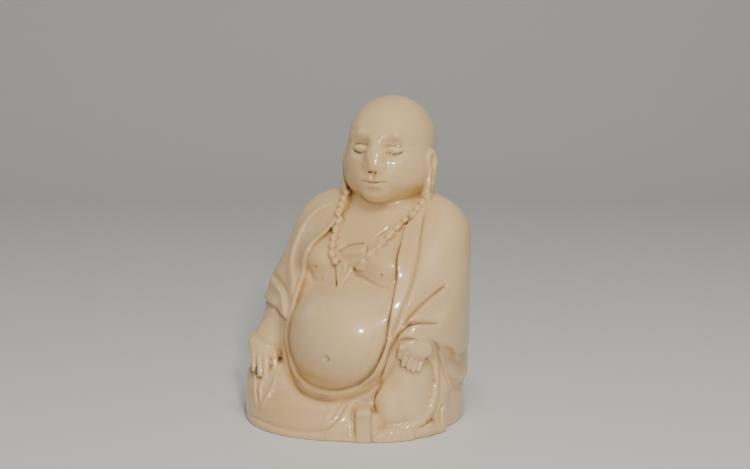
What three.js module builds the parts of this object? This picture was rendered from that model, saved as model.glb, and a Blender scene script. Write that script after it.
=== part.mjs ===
// A seated, pot-bellied monk in an open robe, carved in one piece from a length of tusk.
// Millimetres, +Z up. The origin is the centre of the oval foot, the figure faces -Y and +X is its left side.
// Every form here is a function of a point: negative inside, and about the distance to the surface outside.
import * as THREE from 'three';

// Driving dimensions
const HEIGHT = 88;
const BLANK = { halfWidth: 29.6, halfDepth: 27.2 }; // the oval of tusk that the figure is cut from
const KNEE = { place: [-7.5, -9], radius: 19.2 }; // the right knee fills out the oval at the front
const MIDLINE = 2.5; // the spine stands a little to the figure's left of the blank's centre
const HEAD = { place: [3.3, 10, 72.6], turn: [-6, 0, 9] };
const CLOTH = 0.7; // how far the robe stands off the body at its edges
const BEAD = { radius: 1.05, height: 0.4 };
const TRIANGLES = 9400;
const GRID = 0.5; // spacing of the points at which the form is sampled
const SLIVER = 1e-5; // keeps the triangles even where the surface is flat
const FINE = [
  { at: [4, -1, 70], reach: 10, weight: 40 },
  { at: [-20, -16, 16], reach: 8, weight: 6 },
  { at: [23.5, -14, 22], reach: 7, weight: 6 },
  { at: [19, -19, 1], reach: 8, weight: 4 },
]; // the face, the hands and the toes keep smaller triangles
const BLOCK = 6; // grid cells that are judged together when they are far from the surface
const FLAT = 0.05; // points closer to the table than this lie on it
const CLEARANCE = 3; // forms further away than this don't touch

// Forms

function inverseTurn([x, y, z]) {
  const euler = new THREE.Euler(...[x, y, z].map(THREE.MathUtils.degToRad), 'ZYX');
  return new THREE.Matrix3().setFromMatrix4(new THREE.Matrix4().makeRotationFromEuler(euler)).transpose();
}

function ellipsoid([cx, cy, cz], [rx, ry, rz], turn = [0, 0, 0]) {
  const e = inverseTurn(turn).elements;
  return (x, y, z) => {
    const dx = x - cx;
    const dy = y - cy;
    const dz = z - cz;
    const u = (e[0] * dx + e[3] * dy + e[6] * dz) / rx;
    const v = (e[1] * dx + e[4] * dy + e[7] * dz) / ry;
    const w = (e[2] * dx + e[5] * dy + e[8] * dz) / rz;
    const reach = Math.sqrt(u * u + v * v + w * w);
    const slope = Math.sqrt((u / rx) ** 2 + (v / ry) ** 2 + (w / rz) ** 2) + 1e-9;
    return (reach * (reach - 1)) / slope;
  };
}

function limb([ax, ay, az], ra, [bx, by, bz], rb) {
  const lx = bx - ax;
  const ly = by - ay;
  const lz = bz - az;
  const squared = lx * lx + ly * ly + lz * lz;
  return (x, y, z) => {
    const along = ((x - ax) * lx + (y - ay) * ly + (z - az) * lz) / squared;
    const t = Math.min(1, Math.max(0, along));
    const [dx, dy, dz] = [x - ax - t * lx, y - ay - t * ly, z - az - t * lz];
    return Math.sqrt(dx * dx + dy * dy + dz * dz) - (ra + t * (rb - ra));
  };
}

function softMin(a, b, k) {
  const h = Math.max(k - Math.abs(a - b), 0) / k;
  return Math.min(a, b) - (h * h * k) / 4;
}

function blend(k, ...forms) {
  return (x, y, z) => {
    let d = forms[0](x, y, z);
    for (let i = 1; i < forms.length; i++) d = softMin(d, forms[i](x, y, z), k);
    return d;
  };
}

function keep(k, ...forms) {
  return (x, y, z) => {
    let d = forms[0](x, y, z);
    for (let i = 1; i < forms.length; i++) d = -softMin(-d, -forms[i](x, y, z), k);
    return d;
  };
}

const without = (form) => (x, y, z) => -form(x, y, z);
const thicker = (form, by) => (x, y, z) => form(x, y, z) - by;

// A chain of tapering limbs through [point, radius] pairs.
function chain(k, ...joints) {
  return blend(k, ...joints.slice(1).map(([p, r], i) => limb(joints[i][0], joints[i][1], p, r)));
}

// The form and its mirror image across x = 0.
function mirrored(form) {
  return (x, y, z) => form(Math.abs(x), y, z);
}

// The form moved from its own axes to a place and turned, in degrees about x, then y, then z.
function placed([px, py, pz], turn, form) {
  const e = inverseTurn(turn).elements;
  return (x, y, z) => {
    const dx = x - px;
    const dy = y - py;
    const dz = z - pz;
    return form(
      e[0] * dx + e[3] * dy + e[6] * dz,
      e[1] * dx + e[4] * dy + e[7] * dz,
      e[2] * dx + e[5] * dy + e[8] * dz,
    );
  };
}

// The form near a ball that holds it, and the distance to the ball further away.
function within([cx, cy, cz], reach, form) {
  return (x, y, z) => {
    const far = Math.hypot(x - cx, y - cy, z - cz) - reach;
    return far > CLEARANCE ? far : form(x, y, z);
  };
}

// An upright oval post.
function post([cx, cy], halfWidth, halfDepth) {
  const least = Math.min(halfWidth, halfDepth);
  return (x, y) => (Math.hypot((x - cx) / halfWidth, (y - cy) / halfDepth) - 1) * least;
}

// Everything on the near side of a plane through a point.
function side([px, py, pz], [nx, ny, nz]) {
  const size = Math.hypot(nx, ny, nz);
  return (x, y, z) => ((x - px) * nx + (y - py) * ny + (z - pz) * nz) / size;
}

// The form, worked out once for a point that is asked about again and again.
function remembered(form) {
  const last = { x: NaN, y: NaN, z: NaN, value: 0 };
  return (x, y, z) => {
    if (x !== last.x || y !== last.y || z !== last.z) Object.assign(last, { x, y, z, value: form(x, y, z) });
    return last.value;
  };
}

// Guides

function slopeOf(form, [x, y, z], e) {
  return [
    (form(x + e, y, z) - form(x - e, y, z)) / (2 * e),
    (form(x, y + e, z) - form(x, y - e, z)) / (2 * e),
    (form(x, y, z + e) - form(x, y, z - e)) / (2 * e),
  ];
}

// A point brought to the surface of a form, or to a height above it.
function settle(form, point, height = 0, steps = 5, e = 0.4) {
  let p = point;
  for (let i = 0; i < steps; i++) {
    const slope = slopeOf(form, p, e);
    const squared = Math.max(0.25, slope[0] ** 2 + slope[1] ** 2 + slope[2] ** 2);
    const rest = Math.min(1, Math.max(-1, form(...p) - height));
    p = p.map((c, q) => c - (rest * slope[q]) / squared);
  }
  return p;
}

// The smooth curve through a few points, as evenly spaced points on the surface of a form.
function guide(form, points, gap, height = 0) {
  const curve = new THREE.CatmullRomCurve3(points.map((p) => new THREE.Vector3(...p)), false, 'catmullrom');
  const spaced = curve.getSpacedPoints(Math.ceil(curve.getLength() / gap));
  return evened(evened(spaced.map((p) => settle(form, p.toArray(), height))));
}

function evened(line) {
  const last = line.length - 1;
  return line.map((p, i) => {
    const [before, after] = [line[Math.max(0, i - 1)], line[Math.min(last, i + 1)]];
    return p.map((c, q) => (before[q] + 2 * c + after[q]) / 4);
  });
}

// Where a point stands against a guide: how far off, how far to its left seen from outside, how far along.
function tracker(form, line, margin) {
  const low = [0, 1, 2].map((q) => Math.min(...line.map((p) => p[q])) - margin);
  const high = [0, 1, 2].map((q) => Math.max(...line.map((p) => p[q])) + margin);
  const normals = evened(evened(line.map((p) => slopeOf(form, p, 1))));
  const spans = line.slice(1).map((b, i) => {
    const a = line[i];
    const along = b.map((c, q) => c - a[q]);
    const left = new THREE.Vector3(...normals[i]).cross(new THREE.Vector3(...along)).normalize().toArray();
    return { a, along, left, squared: along[0] ** 2 + along[1] ** 2 + along[2] ** 2 };
  });
  return (x, y, z) => {
    if (x < low[0] || x > high[0] || y < low[1] || y > high[1] || z < low[2] || z > high[2]) return null;
    let nearest = Infinity;
    let found = null;
    for (let i = 0; i < spans.length; i++) {
      const { a, along, left, squared } = spans[i];
      const [dx, dy, dz] = [x - a[0], y - a[1], z - a[2]];
      const t = Math.min(1, Math.max(0, (dx * along[0] + dy * along[1] + dz * along[2]) / squared));
      const off = [dx - t * along[0], dy - t * along[1], dz - t * along[2]];
      const distance = Math.hypot(...off);
      if (distance >= nearest) continue;
      nearest = distance;
      const sideways = off[0] * left[0] + off[1] * left[1] + off[2] * left[2];
      found = { distance, left: sideways, along: (i + t) / spans.length };
    }
    return found;
  };
}

const smooth = (t) => THREE.MathUtils.smoothstep(t, 0, 1);
const bell = (t) => Math.exp(-t * t);
const taper = (along, run) => smooth(Math.min(along, 1 - along) / run + 0.15);

// A groove (height below zero) or a ridge along a guide.
function stroke(form, points, height, width, run = 0.15) {
  const track = tracker(form, guide(form, points, 1), 4 * width);
  return (x, y, z) => {
    const at = track(x, y, z);
    if (!at) return 0;
    return height * bell(at.left / width) * bell(at.distance / (1.8 * width)) * taper(at.along, run);
  };
}

// The edge of an upper layer: high on the left of the guide, falling away over the width behind it.
function fold(form, points, height, width, run = 0.2, edge = 0.6) {
  const track = tracker(form, guide(form, points, 1), width + 1.5);
  return (x, y, z) => {
    const at = track(x, y, z);
    if (!at) return 0;
    const behind = at.distance * Math.sign(at.left);
    const step = smooth((at.left + edge) / (2 * edge)) * (1 - smooth(behind / width));
    const foot = 0.35 * bell((at.left + 1.6 * edge) / (1.1 * edge)) * bell(at.distance / 2);
    return height * (step - foot) * taper(at.along, run);
  };
}

// A round cord through a few points.
function cord(points, radius) {
  const curve = new THREE.CatmullRomCurve3(points.map((p) => new THREE.Vector3(...p)), false, 'catmullrom');
  const spaced = curve.getSpacedPoints(Math.ceil(curve.getLength() / 2));
  return chain(0.3, ...spaced.map((p) => [p.toArray(), radius]));
}

function relieved(form, strokes) {
  return (x, y, z) => {
    const d = form(x, y, z);
    if (Math.abs(d) > CLEARANCE) return d;
    return strokes.reduce((sum, cut) => sum - cut(x, y, z), d);
  };
}

// Head, in its own axes: the origin is at the middle of the skull and the face looks along -y.

function head() {
  const skull = ellipsoid([0, 1.6, 2.6], [11.9, 12.6, 12]);
  const cheeks = ellipsoid([0, -0.6, -5.6], [12.3, 11.6, 10.4]);
  const nape = ellipsoid([0, 3, -7.5], [10.4, 7.6, 10]);
  const muzzle = ellipsoid([0, -8.6, -8.2], [5, 3.2, 3.6]);
  const chin = ellipsoid([0, -8.4, -11.6], [3.8, 3, 2.8]);
  const ball = blend(2.5, blend(3.5, skull, cheeks, nape), muzzle, chin);
  const brows = mirrored(chain(2, [[1.8, -9.9, 2.6], 0.5], [[4.8, -9.2, 3.6], 0.65], [[8, -7, 2.9], 0.2]));
  const sockets = mirrored(ellipsoid([4.8, -12.2, 0.7], [4, 2.6, 2.4], [0, 0, 22]));
  const lids = mirrored(ellipsoid([4.8, -8.65, 0], [2.9, 1.95, 1.75], [0, 0, 22]));
  const lash = chain(0.1, [[2.4, -10.6, -0.7], 0.25], [[4.8, -10.7, -1.25], 0.3], [[7.4, -9.2, -0.4], 0.25]);
  const nose = chain(2, [[0, -9.7, 2.8], 1.2], [[0, -11, -1.3], 1.55], [[0, -11.9, -4], 1.75]);
  const wings = mirrored(ellipsoid([2.05, -11, -4.5], [1.25, 1.5, 1.15]));
  const upperLip = mirrored(chain(0.8, [[0.8, -11.7, -7.9], 0.95], [[3.2, -10.8, -8.3], 0.45]));
  const lowerLip = mirrored(chain(0.8, [[0.5, -11.4, -9.6], 1.1], [[2.6, -10.8, -9], 0.55]));
  const mouth = chain(0.1, [[0, -12.7, -8.7], 0.2], [[1.8, -12.3, -8.6], 0.25], [[3.5, -11.1, -8.35], 0.2]);
  const carved = keep(2, blend(2.2, ball, brows), without(sockets));
  const modelled = blend(0.6, blend(0.7, blend(2.4, carved, nose), wings), lids, upperLip, lowerLip);
  const features = keep(0.3, modelled, without(mirrored(lash)), without(mirrored(mouth)));
  return within([0, 0, 0], 19, blend(0.5, features, mirrored(ear())));
}

// The long-lobed left ear.
function ear() {
  const shell = ellipsoid([12, -0.6, -3], [1.5, 2.9, 3.7], [6, 0, -14]);
  const lobe = chain(1.2, [[12, -0.8, -5], 1.6], [[12, -1.2, -9], 1.4], [[11.6, -1.6, -12], 1.7]);
  const bowl = ellipsoid([13.6, -1.3, -2.8], [1.2, 1.3, 2.2], [6, 0, -14]);
  const channel = limb([13.5, -1.4, -5], 0.6, [13.1, -1.8, -10.8], 0.5);
  return keep(0.5, blend(1, shell, lobe), without(bowl), without(channel));
}

// Body masses

// The tusk that everything stays inside, or a little more of it.
function blank(by) {
  const oval = post([0, 0], BLANK.halfWidth + by, BLANK.halfDepth + by);
  return blend(6, oval, post(KNEE.place, KNEE.radius + by, KNEE.radius + by));
}

const belly = ellipsoid([MIDLINE, -4.5, 24.2], [19.5, 21, 17.2]);
const frontSlope = side([0, 0, 57], [0, -0.77, 0.64]);

// The hem round the right and lower edges of the shin.
const SHIN_HEM = [
  [26, -6.4, 20.5], [27.2, -7.6, 14], [27.2, -9.6, 8], [25.6, -12.8, 4.4], [22.4, -16, 3.3], [19, -17.8, 3.1],
  [14.5, -18.6, 3.6],
];

function legs() {
  const top = side([0, 0, 18.9], [0.12, -0.35, 1]);
  const rear = side([0, 10, 0], [0.4, 1, 0.5]);
  const inner = side([0.5, 0, 0], [0.82, 0.57, 0]);
  const lap = keep(4, keep(12, blank(0.6), top, rear), inner);
  const thigh = chain(3, [[-17.5, -11.5, 6.5], 11], [[-17, 8, 6], 8.5]);
  const calf = limb([19.2, -9.2, 7], 7.7, [19.2, -8.4, 16.6], 7.7);
  const ankle = ellipsoid([16.4, -14.6, 7], [4.4, 5, 7]);
  const shin = keep(1.2, blend(4, calf, ankle), side([0, 0, 3], [0, 0, -1]));
  const shinHem = within([23, -14, 11], 14, cord(SHIN_HEM, 0.95));
  const tuck = ellipsoid([12.5, -19, 3], [5, 5.4, 6]);
  const sideFolds = chain(3, [[24.5, -4, 3], 4], [[24.8, -3, 12], 3.4], [[24.5, -4, 22], 3]);
  return blend(0.8, blend(4, lap, thigh), blend(0.9, shin, shinHem), sideFolds, tuck);
}

function robe() {
  const m = MIDLINE;
  const skirt = keep(14, post([0.5, 3], 26.6, 24.2), side([0, 0, 42], [0, 0, 1]));
  const back = ellipsoid([m, 4.4, 34], [25.8, 21.6, 27]);
  const nape = ellipsoid([m, 11.5, 53], [13, 9.5, 9]);
  const leftPanel = ellipsoid([11, -3, 31], [12, 15, 22], [0, -6, 0]);
  const rightShoulder = ellipsoid([m - 12, 6, 47], [11.5, 11, 13.5], [0, -22, 0]);
  const leftShoulder = ellipsoid([m + 13, 7, 46], [12.5, 12, 15], [0, 14, 0]);
  const rightArm = chain(3, [[-13, 5, 50], 8], [[-18.5, -2, 32], 7.5], [[-19.5, -7, 26], 6]);
  const leftArm = chain(3, [[18, 7, 50], 8.5], [[21, 0, 30], 8.2], [[19.5, -8, 26], 6]);
  return blend(5, skirt, back, nape, leftPanel, rightShoulder, leftShoulder, rightArm, leftArm);
}

function forearms() {
  const right = chain(1, [[-15, -9, 32], 5], [[-20.5, -14, 21.5], 4.6]);
  const left = chain(1.5, [[26, -5, 28], 5], [[23.5, -11.6, 28.4], 3.6], [[20.8, -13.4, 26.8], 2.6]);
  return blend(0.6, right, left);
}

// The robe's front opening, seen from the front: to the figure's left of the axis, and up.
const OPENING = [
  [5, 73], [19, 65], [17.9, 61.2], [16.5, 57.5], [14.9, 54.2], [15.2, 51], [16.9, 46], [17.5, 41.5],
  [17.9, 36.6], [18, 32.9], [17.8, 29.1], [17.5, 25.4], [16.4, 21.5], [14.8, 18.2], [12.5, 15.7], [8.9, 13.3],
  [3.7, 11.9], [-1.5, 12.2], [-6, 13.5], [-9.1, 16], [-10.8, 20.5], [-11.2, 25], [-10.8, 28.5], [-10.1, 31.4],
  [-10, 34.6], [-9.9, 40], [-9.9, 43.2], [-9.3, 46], [-8.4, 48.5], [-7.2, 50.8], [-6, 53.2], [-5.2, 55.5],
  [-5, 58.5], [-6.8, 62], [-9, 66],
];

// A prism that runs back from the front, negative inside the closed outline.
function frontPrism(outline) {
  const corners = outline.map(([x, z]) => new THREE.Vector3(x, z, 0));
  const points = new THREE.CatmullRomCurve3(corners, true, 'catmullrom').getPoints(outline.length * 5);
  const low = { x: -34, z: -2 };
  const step = 0.4;
  const [across, up] = [Math.ceil((-2 * low.x) / step) + 2, Math.ceil(95 / step)];
  const chart = new Float32Array(across * up);
  for (let j = 0; j < up; j++)
    for (let i = 0; i < across; i++)
      chart[i + j * across] = toOutline(points, low.x + i * step, low.z + j * step);
  return (x, y, z) => {
    const u = Math.min(across - 2, Math.max(0, (x - low.x) / step));
    const v = Math.min(up - 2, Math.max(0, (z - low.z) / step));
    const [i, j] = [Math.floor(u), Math.floor(v)];
    const [s, t] = [u - i, v - j];
    const at = i + j * across;
    const below = chart[at] * (1 - s) + chart[at + 1] * s;
    const above = chart[at + across] * (1 - s) + chart[at + across + 1] * s;
    return below * (1 - t) + above * t;
  };
}

// Distance from a point of the plane to a closed outline, negative inside it.
function toOutline(points, u, v) {
  let nearest = Infinity;
  let inside = false;
  for (let i = 1; i < points.length; i++) {
    const a = points[i - 1];
    const b = points[i];
    const du = b.x - a.x;
    const dv = b.y - a.y;
    const t = Math.min(1, Math.max(0, ((u - a.x) * du + (v - a.y) * dv) / (du * du + dv * dv)));
    nearest = Math.min(nearest, Math.hypot(u - a.x - t * du, v - a.y - t * dv));
    if (a.y > v !== b.y > v && u < a.x + ((v - a.y) * du) / dv) inside = !inside;
  }
  return inside ? -nearest : nearest;
}

const opening = remembered(keep(0.5, frontPrism(OPENING), side([0, 8, 0], [0, 1, 0])));

// The body under the robe, above the belly. The chest leans back to the neck.
function trunk(gown) {
  const chest = ellipsoid([MIDLINE, 6.2, 40], [18, 14, 22.4], [-32, 0, 0]);
  const neck = limb([MIDLINE, 10, 50], 10, [MIDLINE, 11.5, 60], 11);
  const underRobe = keep(6, thicker(gown, -1), frontSlope);
  const rightBreast = ellipsoid([-7.4, -5, 44.4], [7, 7.6, 5.4]);
  const leftBreast = ellipsoid([11.4, -5, 43.8], [8.6, 7.9, 5.6]);
  return blend(2, blend(3, chest, neck, underRobe), blend(2.5, rightBreast, leftBreast));
}

function masses() {
  const gown = remembered(robe());
  const body = remembered(trunk(gown));
  const robeOverBody = remembered(blend(1.5, keep(9, gown, thicker(frontSlope, 2.2)), thicker(body, CLOTH)));
  const lining = keep(6, thicker(robeOverBody, -0.8), side([0, 0, 36], [0, 0, 1]));
  const flesh = blend(0.8, blend(1.5, keep(0.5, belly, thicker(opening, 1.2)), lining), body);
  const hem = keep(0.9, thicker(belly, 0.6), thicker(opening, 2), without(opening));
  const cloth = keep(0.4, robeOverBody, without(opening));
  const skull = placed(HEAD.place, HEAD.turn, head());
  return blend(0.6, skull, flesh, blend(2, blend(0.4, hem, cloth), forearms()), legs());
}

// Folds and hems of the robe

// The rolled edge of the robe round the belly, and the groove below it.
function edges(x, y, z) {
  const off = opening(x, y, z);
  const front = smooth((4 - y) / 6) * smooth((60 - z) / 4);
  const under = smooth((22 - z) / 4);
  const rolled = Math.max(under, smooth((4 - x) / 6));
  return front * (0.35 * rolled * bell((off - 0.9) / 0.6) - 0.55 * under * bell((off - 2.8) / 0.6));
}

// The edges of the robe over the chest, and the creases under the breasts.
function lapels(form) {
  const left = [
    [18.2, 3.1, 59.3], [19.1, -0.2, 55.8], [20, -3.6, 51], [21, -6.4, 46.3], [21.3, -9.5, 41.5],
    [20.9, -13.2, 35.6], [20, -15.5, 31], [18.2, -17.2, 26.5],
  ];
  const right = [
    [-10.9, -16.5, 34], [-12, -14, 38.5], [-15, -10, 41.8], [-16.4, -6.9, 45.3], [-15.6, -3.9, 51],
    [-12.9, -1.5, 55.3], [-8.5, 0.8, 57.8],
  ];
  const leftBreast = [[5.1, -12.1, 41.9], [9.6, -13.1, 40.7], [13.5, -13.4, 39.6], [16.7, -12.6, 39.5]];
  const rightBreast = [[-9.4, -11.9, 41.9], [-8.6, -12.5, 39.7], [-6.8, -13.2, 39.1], [-3.7, -12.8, 40.2]];
  return [
    stroke(form, left, -0.9, 0.6),
    stroke(form, right, -0.45, 0.6),
    fold(form, right, 0.6, 4, 0.2, 0.9),
    stroke(form, leftBreast, -0.55, 0.6),
    stroke(form, rightBreast, -0.8, 0.7),
  ];
}

function leftSleeve(form) {
  const upper = [[28, -2.5, 40], [25.3, -7.5, 37.1], [22.7, -12.1, 33.4], [20.7, -15.4, 29.3]];
  const lower = [
    [29.2, -7.1, 29.9], [27.9, -10.2, 31.2], [24.9, -14.2, 31.8], [21.8, -14.8, 29.8], [20.3, -15.8, 27.7],
    [18.2, -16.5, 23.2], [16.8, -16.9, 18.3], [15.2, -16.7, 12], [15.4, -18, 5.5],
  ];
  const cuff = [
    [20.1, -15.9, 26.1], [21.3, -15.7, 27.5], [24, -15.6, 27.9], [25.8, -14, 27.1], [27.2, -12.1, 25.4],
  ];
  const knee = [
    [27.5, -11.1, 27.1], [27.6, -8.4, 24.6], [26.9, -5.3, 21], [26.5, -3.3, 15], [26.7, -2.5, 9.3],
    [26.9, -1.6, 2],
  ];
  const upperHem = [
    [28.9, -8.1, 26.8], [29.4, -4.4, 23.6], [29.4, -1, 21.5], [29, 3, 19.7], [28, 8.2, 19.7],
    [26.6, 12.7, 22.4], [24, 17, 27],
  ];
  const lowerHem = [
    [27.4, -2.8, 19.7], [27.9, -0.9, 15.5], [28.3, 1.3, 12.8], [28.2, 5, 11], [27.5, 9.5, 11.5],
    [25.5, 15, 15], [22, 19.5, 22],
  ];
  return [
    stroke(form, upper, -1.2, 0.75),
    fold(form, upper, 0.8, 5, 0.2, 0.8),
    stroke(form, lower, -1.4, 0.7, 0.1),
    fold(form, cuff, 0.9, 3, 0.2, 0.5),
    stroke(form, knee, -0.9, 0.6),
    fold(form, upperHem, 1.3, 6, 0.2, 0.9),
    fold(form, lowerHem, 1.4, 6, 0.2, 0.9),
  ];
}

function rightSleeve(form) {
  const crease = [
    [-11.5, -19, 29.1], [-12.7, -17.7, 31.1], [-13.8, -16.5, 33.5], [-16.2, -14.4, 35.6], [-19.5, -12, 36.7],
    [-24, -7, 37.4],
  ];
  const cuff = [
    [-25, -8, 31], [-20.8, -13.8, 31.3], [-17.5, -15.4, 30.9], [-14.8, -16.7, 29.8], [-11.3, -19.3, 28.6],
  ];
  return [
    stroke(form, crease, -0.5, 0.6),
    fold(form, crease, 0.7, 4),
    fold(form, cuff, 0.8, 4, 0.1, 0.5),
  ];
}

function skirtFolds(form) {
  const lip = [
    [8.5, -20.6, 9.6], [8.1, -22.9, 7.2], [7, -25.5, 4.5], [4, -27.9, 2.4], [-4.4, -29.3, 1.5],
    [-13.3, -28.3, 1.8], [-19.5, -24, 1.9], [-22.8, -18.5, 3.2], [-23.7, -16, 9],
  ];
  return [
    fold(form, lip, 0.9, 3.5, 0.08, 0.5),
    stroke(form, [[6.6, -20.9, 10.2], [6.1, -22.1, 8.8], [5.9, -23.3, 7.2], [4.8, -25.5, 4.6]], -0.5, 0.6),
    stroke(form, [[10, -19.9, 10.2], [10.9, -22.4, 6.7], [12.2, -24.7, 1.2]], -0.8, 0.6),
    ...BACK_FOLDS.map((points) => fold(form, points, 1, 7, 0.25, 0.8)),
    stroke(form, [[-6, 20, 56], [-10, 24, 48], [-12, 25.5, 42]], -0.5, 1.4, 0.3),
    stroke(form, [[11, 20, 57], [14, 24, 49], [15, 25, 42]], -0.5, 1.4, 0.3),
    stroke(form, [[-13, 9, 61], [-9, 16, 59.5], [2.5, 19.5, 58.5], [14, 17, 60], [19, 9, 62]], 0.8, 1.1, 0.3),
  ];
}

const BACK_FOLDS = [
  [[25, 10, 47], [18, 21, 40], [4, 27, 36], [-9, 25.5, 39], [-20, 15, 46]],
  [[28, 6, 36], [20, 20, 27], [5, 28, 22.5], [-10, 26.5, 26], [-23, 14, 35]],
  [[27, 12, 22], [18, 23, 13], [4, 28, 9], [-10, 26.5, 12], [-24, 13, 21]],
];

// Hands and foot

function finger(form, lift, ...joints) {
  return chain(0.3, ...joints.map(([p, r]) => [settle(form, p, r * lift), r]));
}

// Resting on the knee with the fingers together, pointing down over its front; the thumb stands off.
function rightHand() {
  const reaches = [
    [[-2.9, -0.4, 1.8], [-3, 0.5, -4.7], 1],
    [[-1.4, -0.9, 1.8], [-1.4, 0.1, -6.6], 1.05],
    [[0.3, -1.1, 1.8], [0.2, -0.1, -7.9], 1.2],
    [[2.2, -0.8, 1.8], [2.7, -0.2, -4.6], 1.15],
  ];
  const fingers = reaches.map(([knuckle, tip, r]) => {
    const middle = [0, -1.8, 0].map((off, q) => (knuckle[q] + tip[q] + off) / 2);
    return chain(0.5, [knuckle, r * 1.2], [middle, r], [tip, r * 0.7]);
  });
  const thumb = chain(0.5, [[3, -0.8, 5.5], 1.8], [[5.1, -1.4, 1.5], 1.3], [[5.6, -1, -3], 0.95]);
  const back = ellipsoid([-0.3, -1.1, 2.6], [4.4, 2.4, 4.6]);
  const hand = blend(1.2, back, blend(0.2, ...fingers), thumb);
  return within([-19.5, -17.5, 17], 11, placed([-20.3, -17.1, 17.9], [-47, 0, 32], hand));
}

// Lying on the shin, with short fingers that point down and inwards.
function leftHand(form) {
  const reaches = [
    [[22.3, -14.8, 23.6], [21.6, -15, 20], 0.95],
    [[23.4, -13.8, 23.2], [22.9, -14.7, 19.2], 0.93],
    [[24.4, -12.8, 22.6], [23.9, -14.1, 18.7], 0.88],
    [[25.4, -11.7, 22], [24.9, -13.2, 18.6], 0.83],
  ];
  const fingers = reaches.map(([knuckle, tip, r]) => finger(form, 0.75, [knuckle, r * 1.1], [tip, r * 0.85]));
  const thumb = finger(form, 0.75, [[21.6, -15.8, 25.2], 1.05], [[20.6, -15.6, 22.5], 0.85]);
  const back = ellipsoid([24.7, -13.1, 24.7], [4.4, 2.6, 2.9], [0, 20, 38]);
  return within([23.5, -14.5, 22.5], 9, blend(0.6, back, blend(0.15, ...fingers), thumb));
}

// The left foot under the hem of the robe, with its toes at the front of the oval.
function foot() {
  const sole = ellipsoid([18.5, -16.5, 0.8], [6.8, 5.8, 3.2], [0, 0, 40]);
  const toes = [-2, -1, 0, 1, 2].map((i) => {
    const angle = THREE.MathUtils.degToRad(48) + 0.064 * i;
    const [x, y] = [Math.sin(angle) * (BLANK.halfWidth - 1), -Math.cos(angle) * (BLANK.halfDepth - 1.3)];
    const turn = [0, 0, THREE.MathUtils.radToDeg(angle)];
    return ellipsoid([x, y, 1.4 - 0.1 * i], [1 - 0.05 * i, 2.8, 2 - 0.1 * i], turn);
  });
  const hem = chain(1, [[22.6, -15.4, 1.3], 2], [[25.5, -9.8, 1.4], 2.1], [[27, -5, 1], 1.8]);
  return within([22, -13, 1], 14, blend(0.2, sole, ...toes, hem));
}

// The end of the sash, hanging over the front of the foot, with its edge turned over at the top.
function sash() {
  const [place, turn] = [[14.5, -23.75, 0], [0, 0, 27]];
  const sides = [side([2.1, 0, 0], [1, 0, 0]), side([-2.1, 0, 0], [-1, 0, 0]), side([0, 4, 0], [0, 1, 0])];
  const end = keep(0.8, ...sides, side([0, 0, 8], [0, 0, 1]));
  const turnedOver = keep(0.8, ...sides, side([0, 0, 8.9], [-0.1, 0, 1]), side([0, 0, 6.9], [0, 0, -1]));
  const hanging = keep(0.8, placed(place, turn, end), blank(0.55));
  const edge = keep(0.8, placed(place, turn, turnedOver), blank(0.8));
  return within([14.5, -23.75, 4], 9, blend(0.3, hanging, edge));
}

// The end of a cloth held in the right hand: three pleats that run together to a point.
function kerchief(form) {
  const front = [[[-14, -21.3, 13.2], 0.8], [[-13.6, -23.4, 11], 0.8], [[-14.4, -25, 8.6], 0.7]];
  const middle = [[[-17.6, -21.8, 12.8], 0.7], [[-17.4, -23.9, 9.6], 0.85], [[-16.2, -25.6, 6.7], 0.5]];
  const rear = [[[-20.9, -21, 12.4], 0.5], [[-19.6, -23.2, 9.7], 0.7], [[-18, -25.2, 6], 0.5]];
  const pleats = [[...front, [[-15.7, -26.2, 5.5], 0.5]], middle, rear];
  return within([-16.5, -23.5, 9.5], 8, blend(0.2, ...pleats.map((joints) => finger(form, 0.2, ...joints))));
}

// Necklace: two strands of beads that meet in two flat knots, with a leaf above them and a tassel below.

const BEADS = [
  [
    [-6.6, 2.5, 60.8], [-6.3, 1.2, 59.2], [-6, -0.4, 57.4], [-5.9, -1.6, 55.5], [-5.7, -2.8, 53.5],
    [-5.2, -4.5, 51.4], [-4.5, -6.9, 49.5], [-3.7, -9.1, 48], [-3, -10.5, 46.1], [-1.6, -10.7, 44.1],
  ],
  [
    [17.4, 5, 61.9], [17, 2.9, 60.5], [16.3, 1, 58.9], [15.3, -0.2, 57.3], [13.9, -0.8, 55.5],
    [12.7, -2.4, 53.7], [11.5, -4.4, 51.7], [10.7, -7.4, 49.5], [9.6, -10.8, 47.2], [7.2, -11.9, 44.8],
  ],
];

function strand(form, centres) {
  const line = centres.map((p) => settle(form, p, BEAD.height));
  return line.map((p, i) => {
    const next = line[i + 1] ?? p;
    const previous = line[i - 1] ?? p;
    const [start, end] = [-0.12, 0.12].map((t) => p.map((c, q) => c + t * (next[q] - previous[q])));
    return limb(start, BEAD.radius, end, BEAD.radius);
  });
}

function necklace(form) {
  const beads = BEADS.flatMap((centres) => strand(form, centres));
  const knots = [[1.3, -10.9, 43.6], [6.6, -11.9, 44]].map((p) => settle(form, p, 0.1));
  const leaf = finger(form, -0.5, [[0.2, -9, 46.6], 1.3], [[4.6, -8.4, 47.2], 1.3]);
  const tassel = [[0.5, 1.3], [1.9, 2.1], [3.3, 2.9]].map(([top, middle]) =>
    finger(form, 0.3, [[top, -11.5, 42.7], 1.05], [[middle, -13.2, 40.9], 0.9], [[2.5, -15.7, 38.8], 0.5]),
  );
  const pendant = [...knots.map((p) => ellipsoid(p, [1.6, 1.2, 1.3])), leaf, ...tassel];
  return within([5, -3, 52], 19, blend(0.2, ...beads, ...pendant));
}

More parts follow.
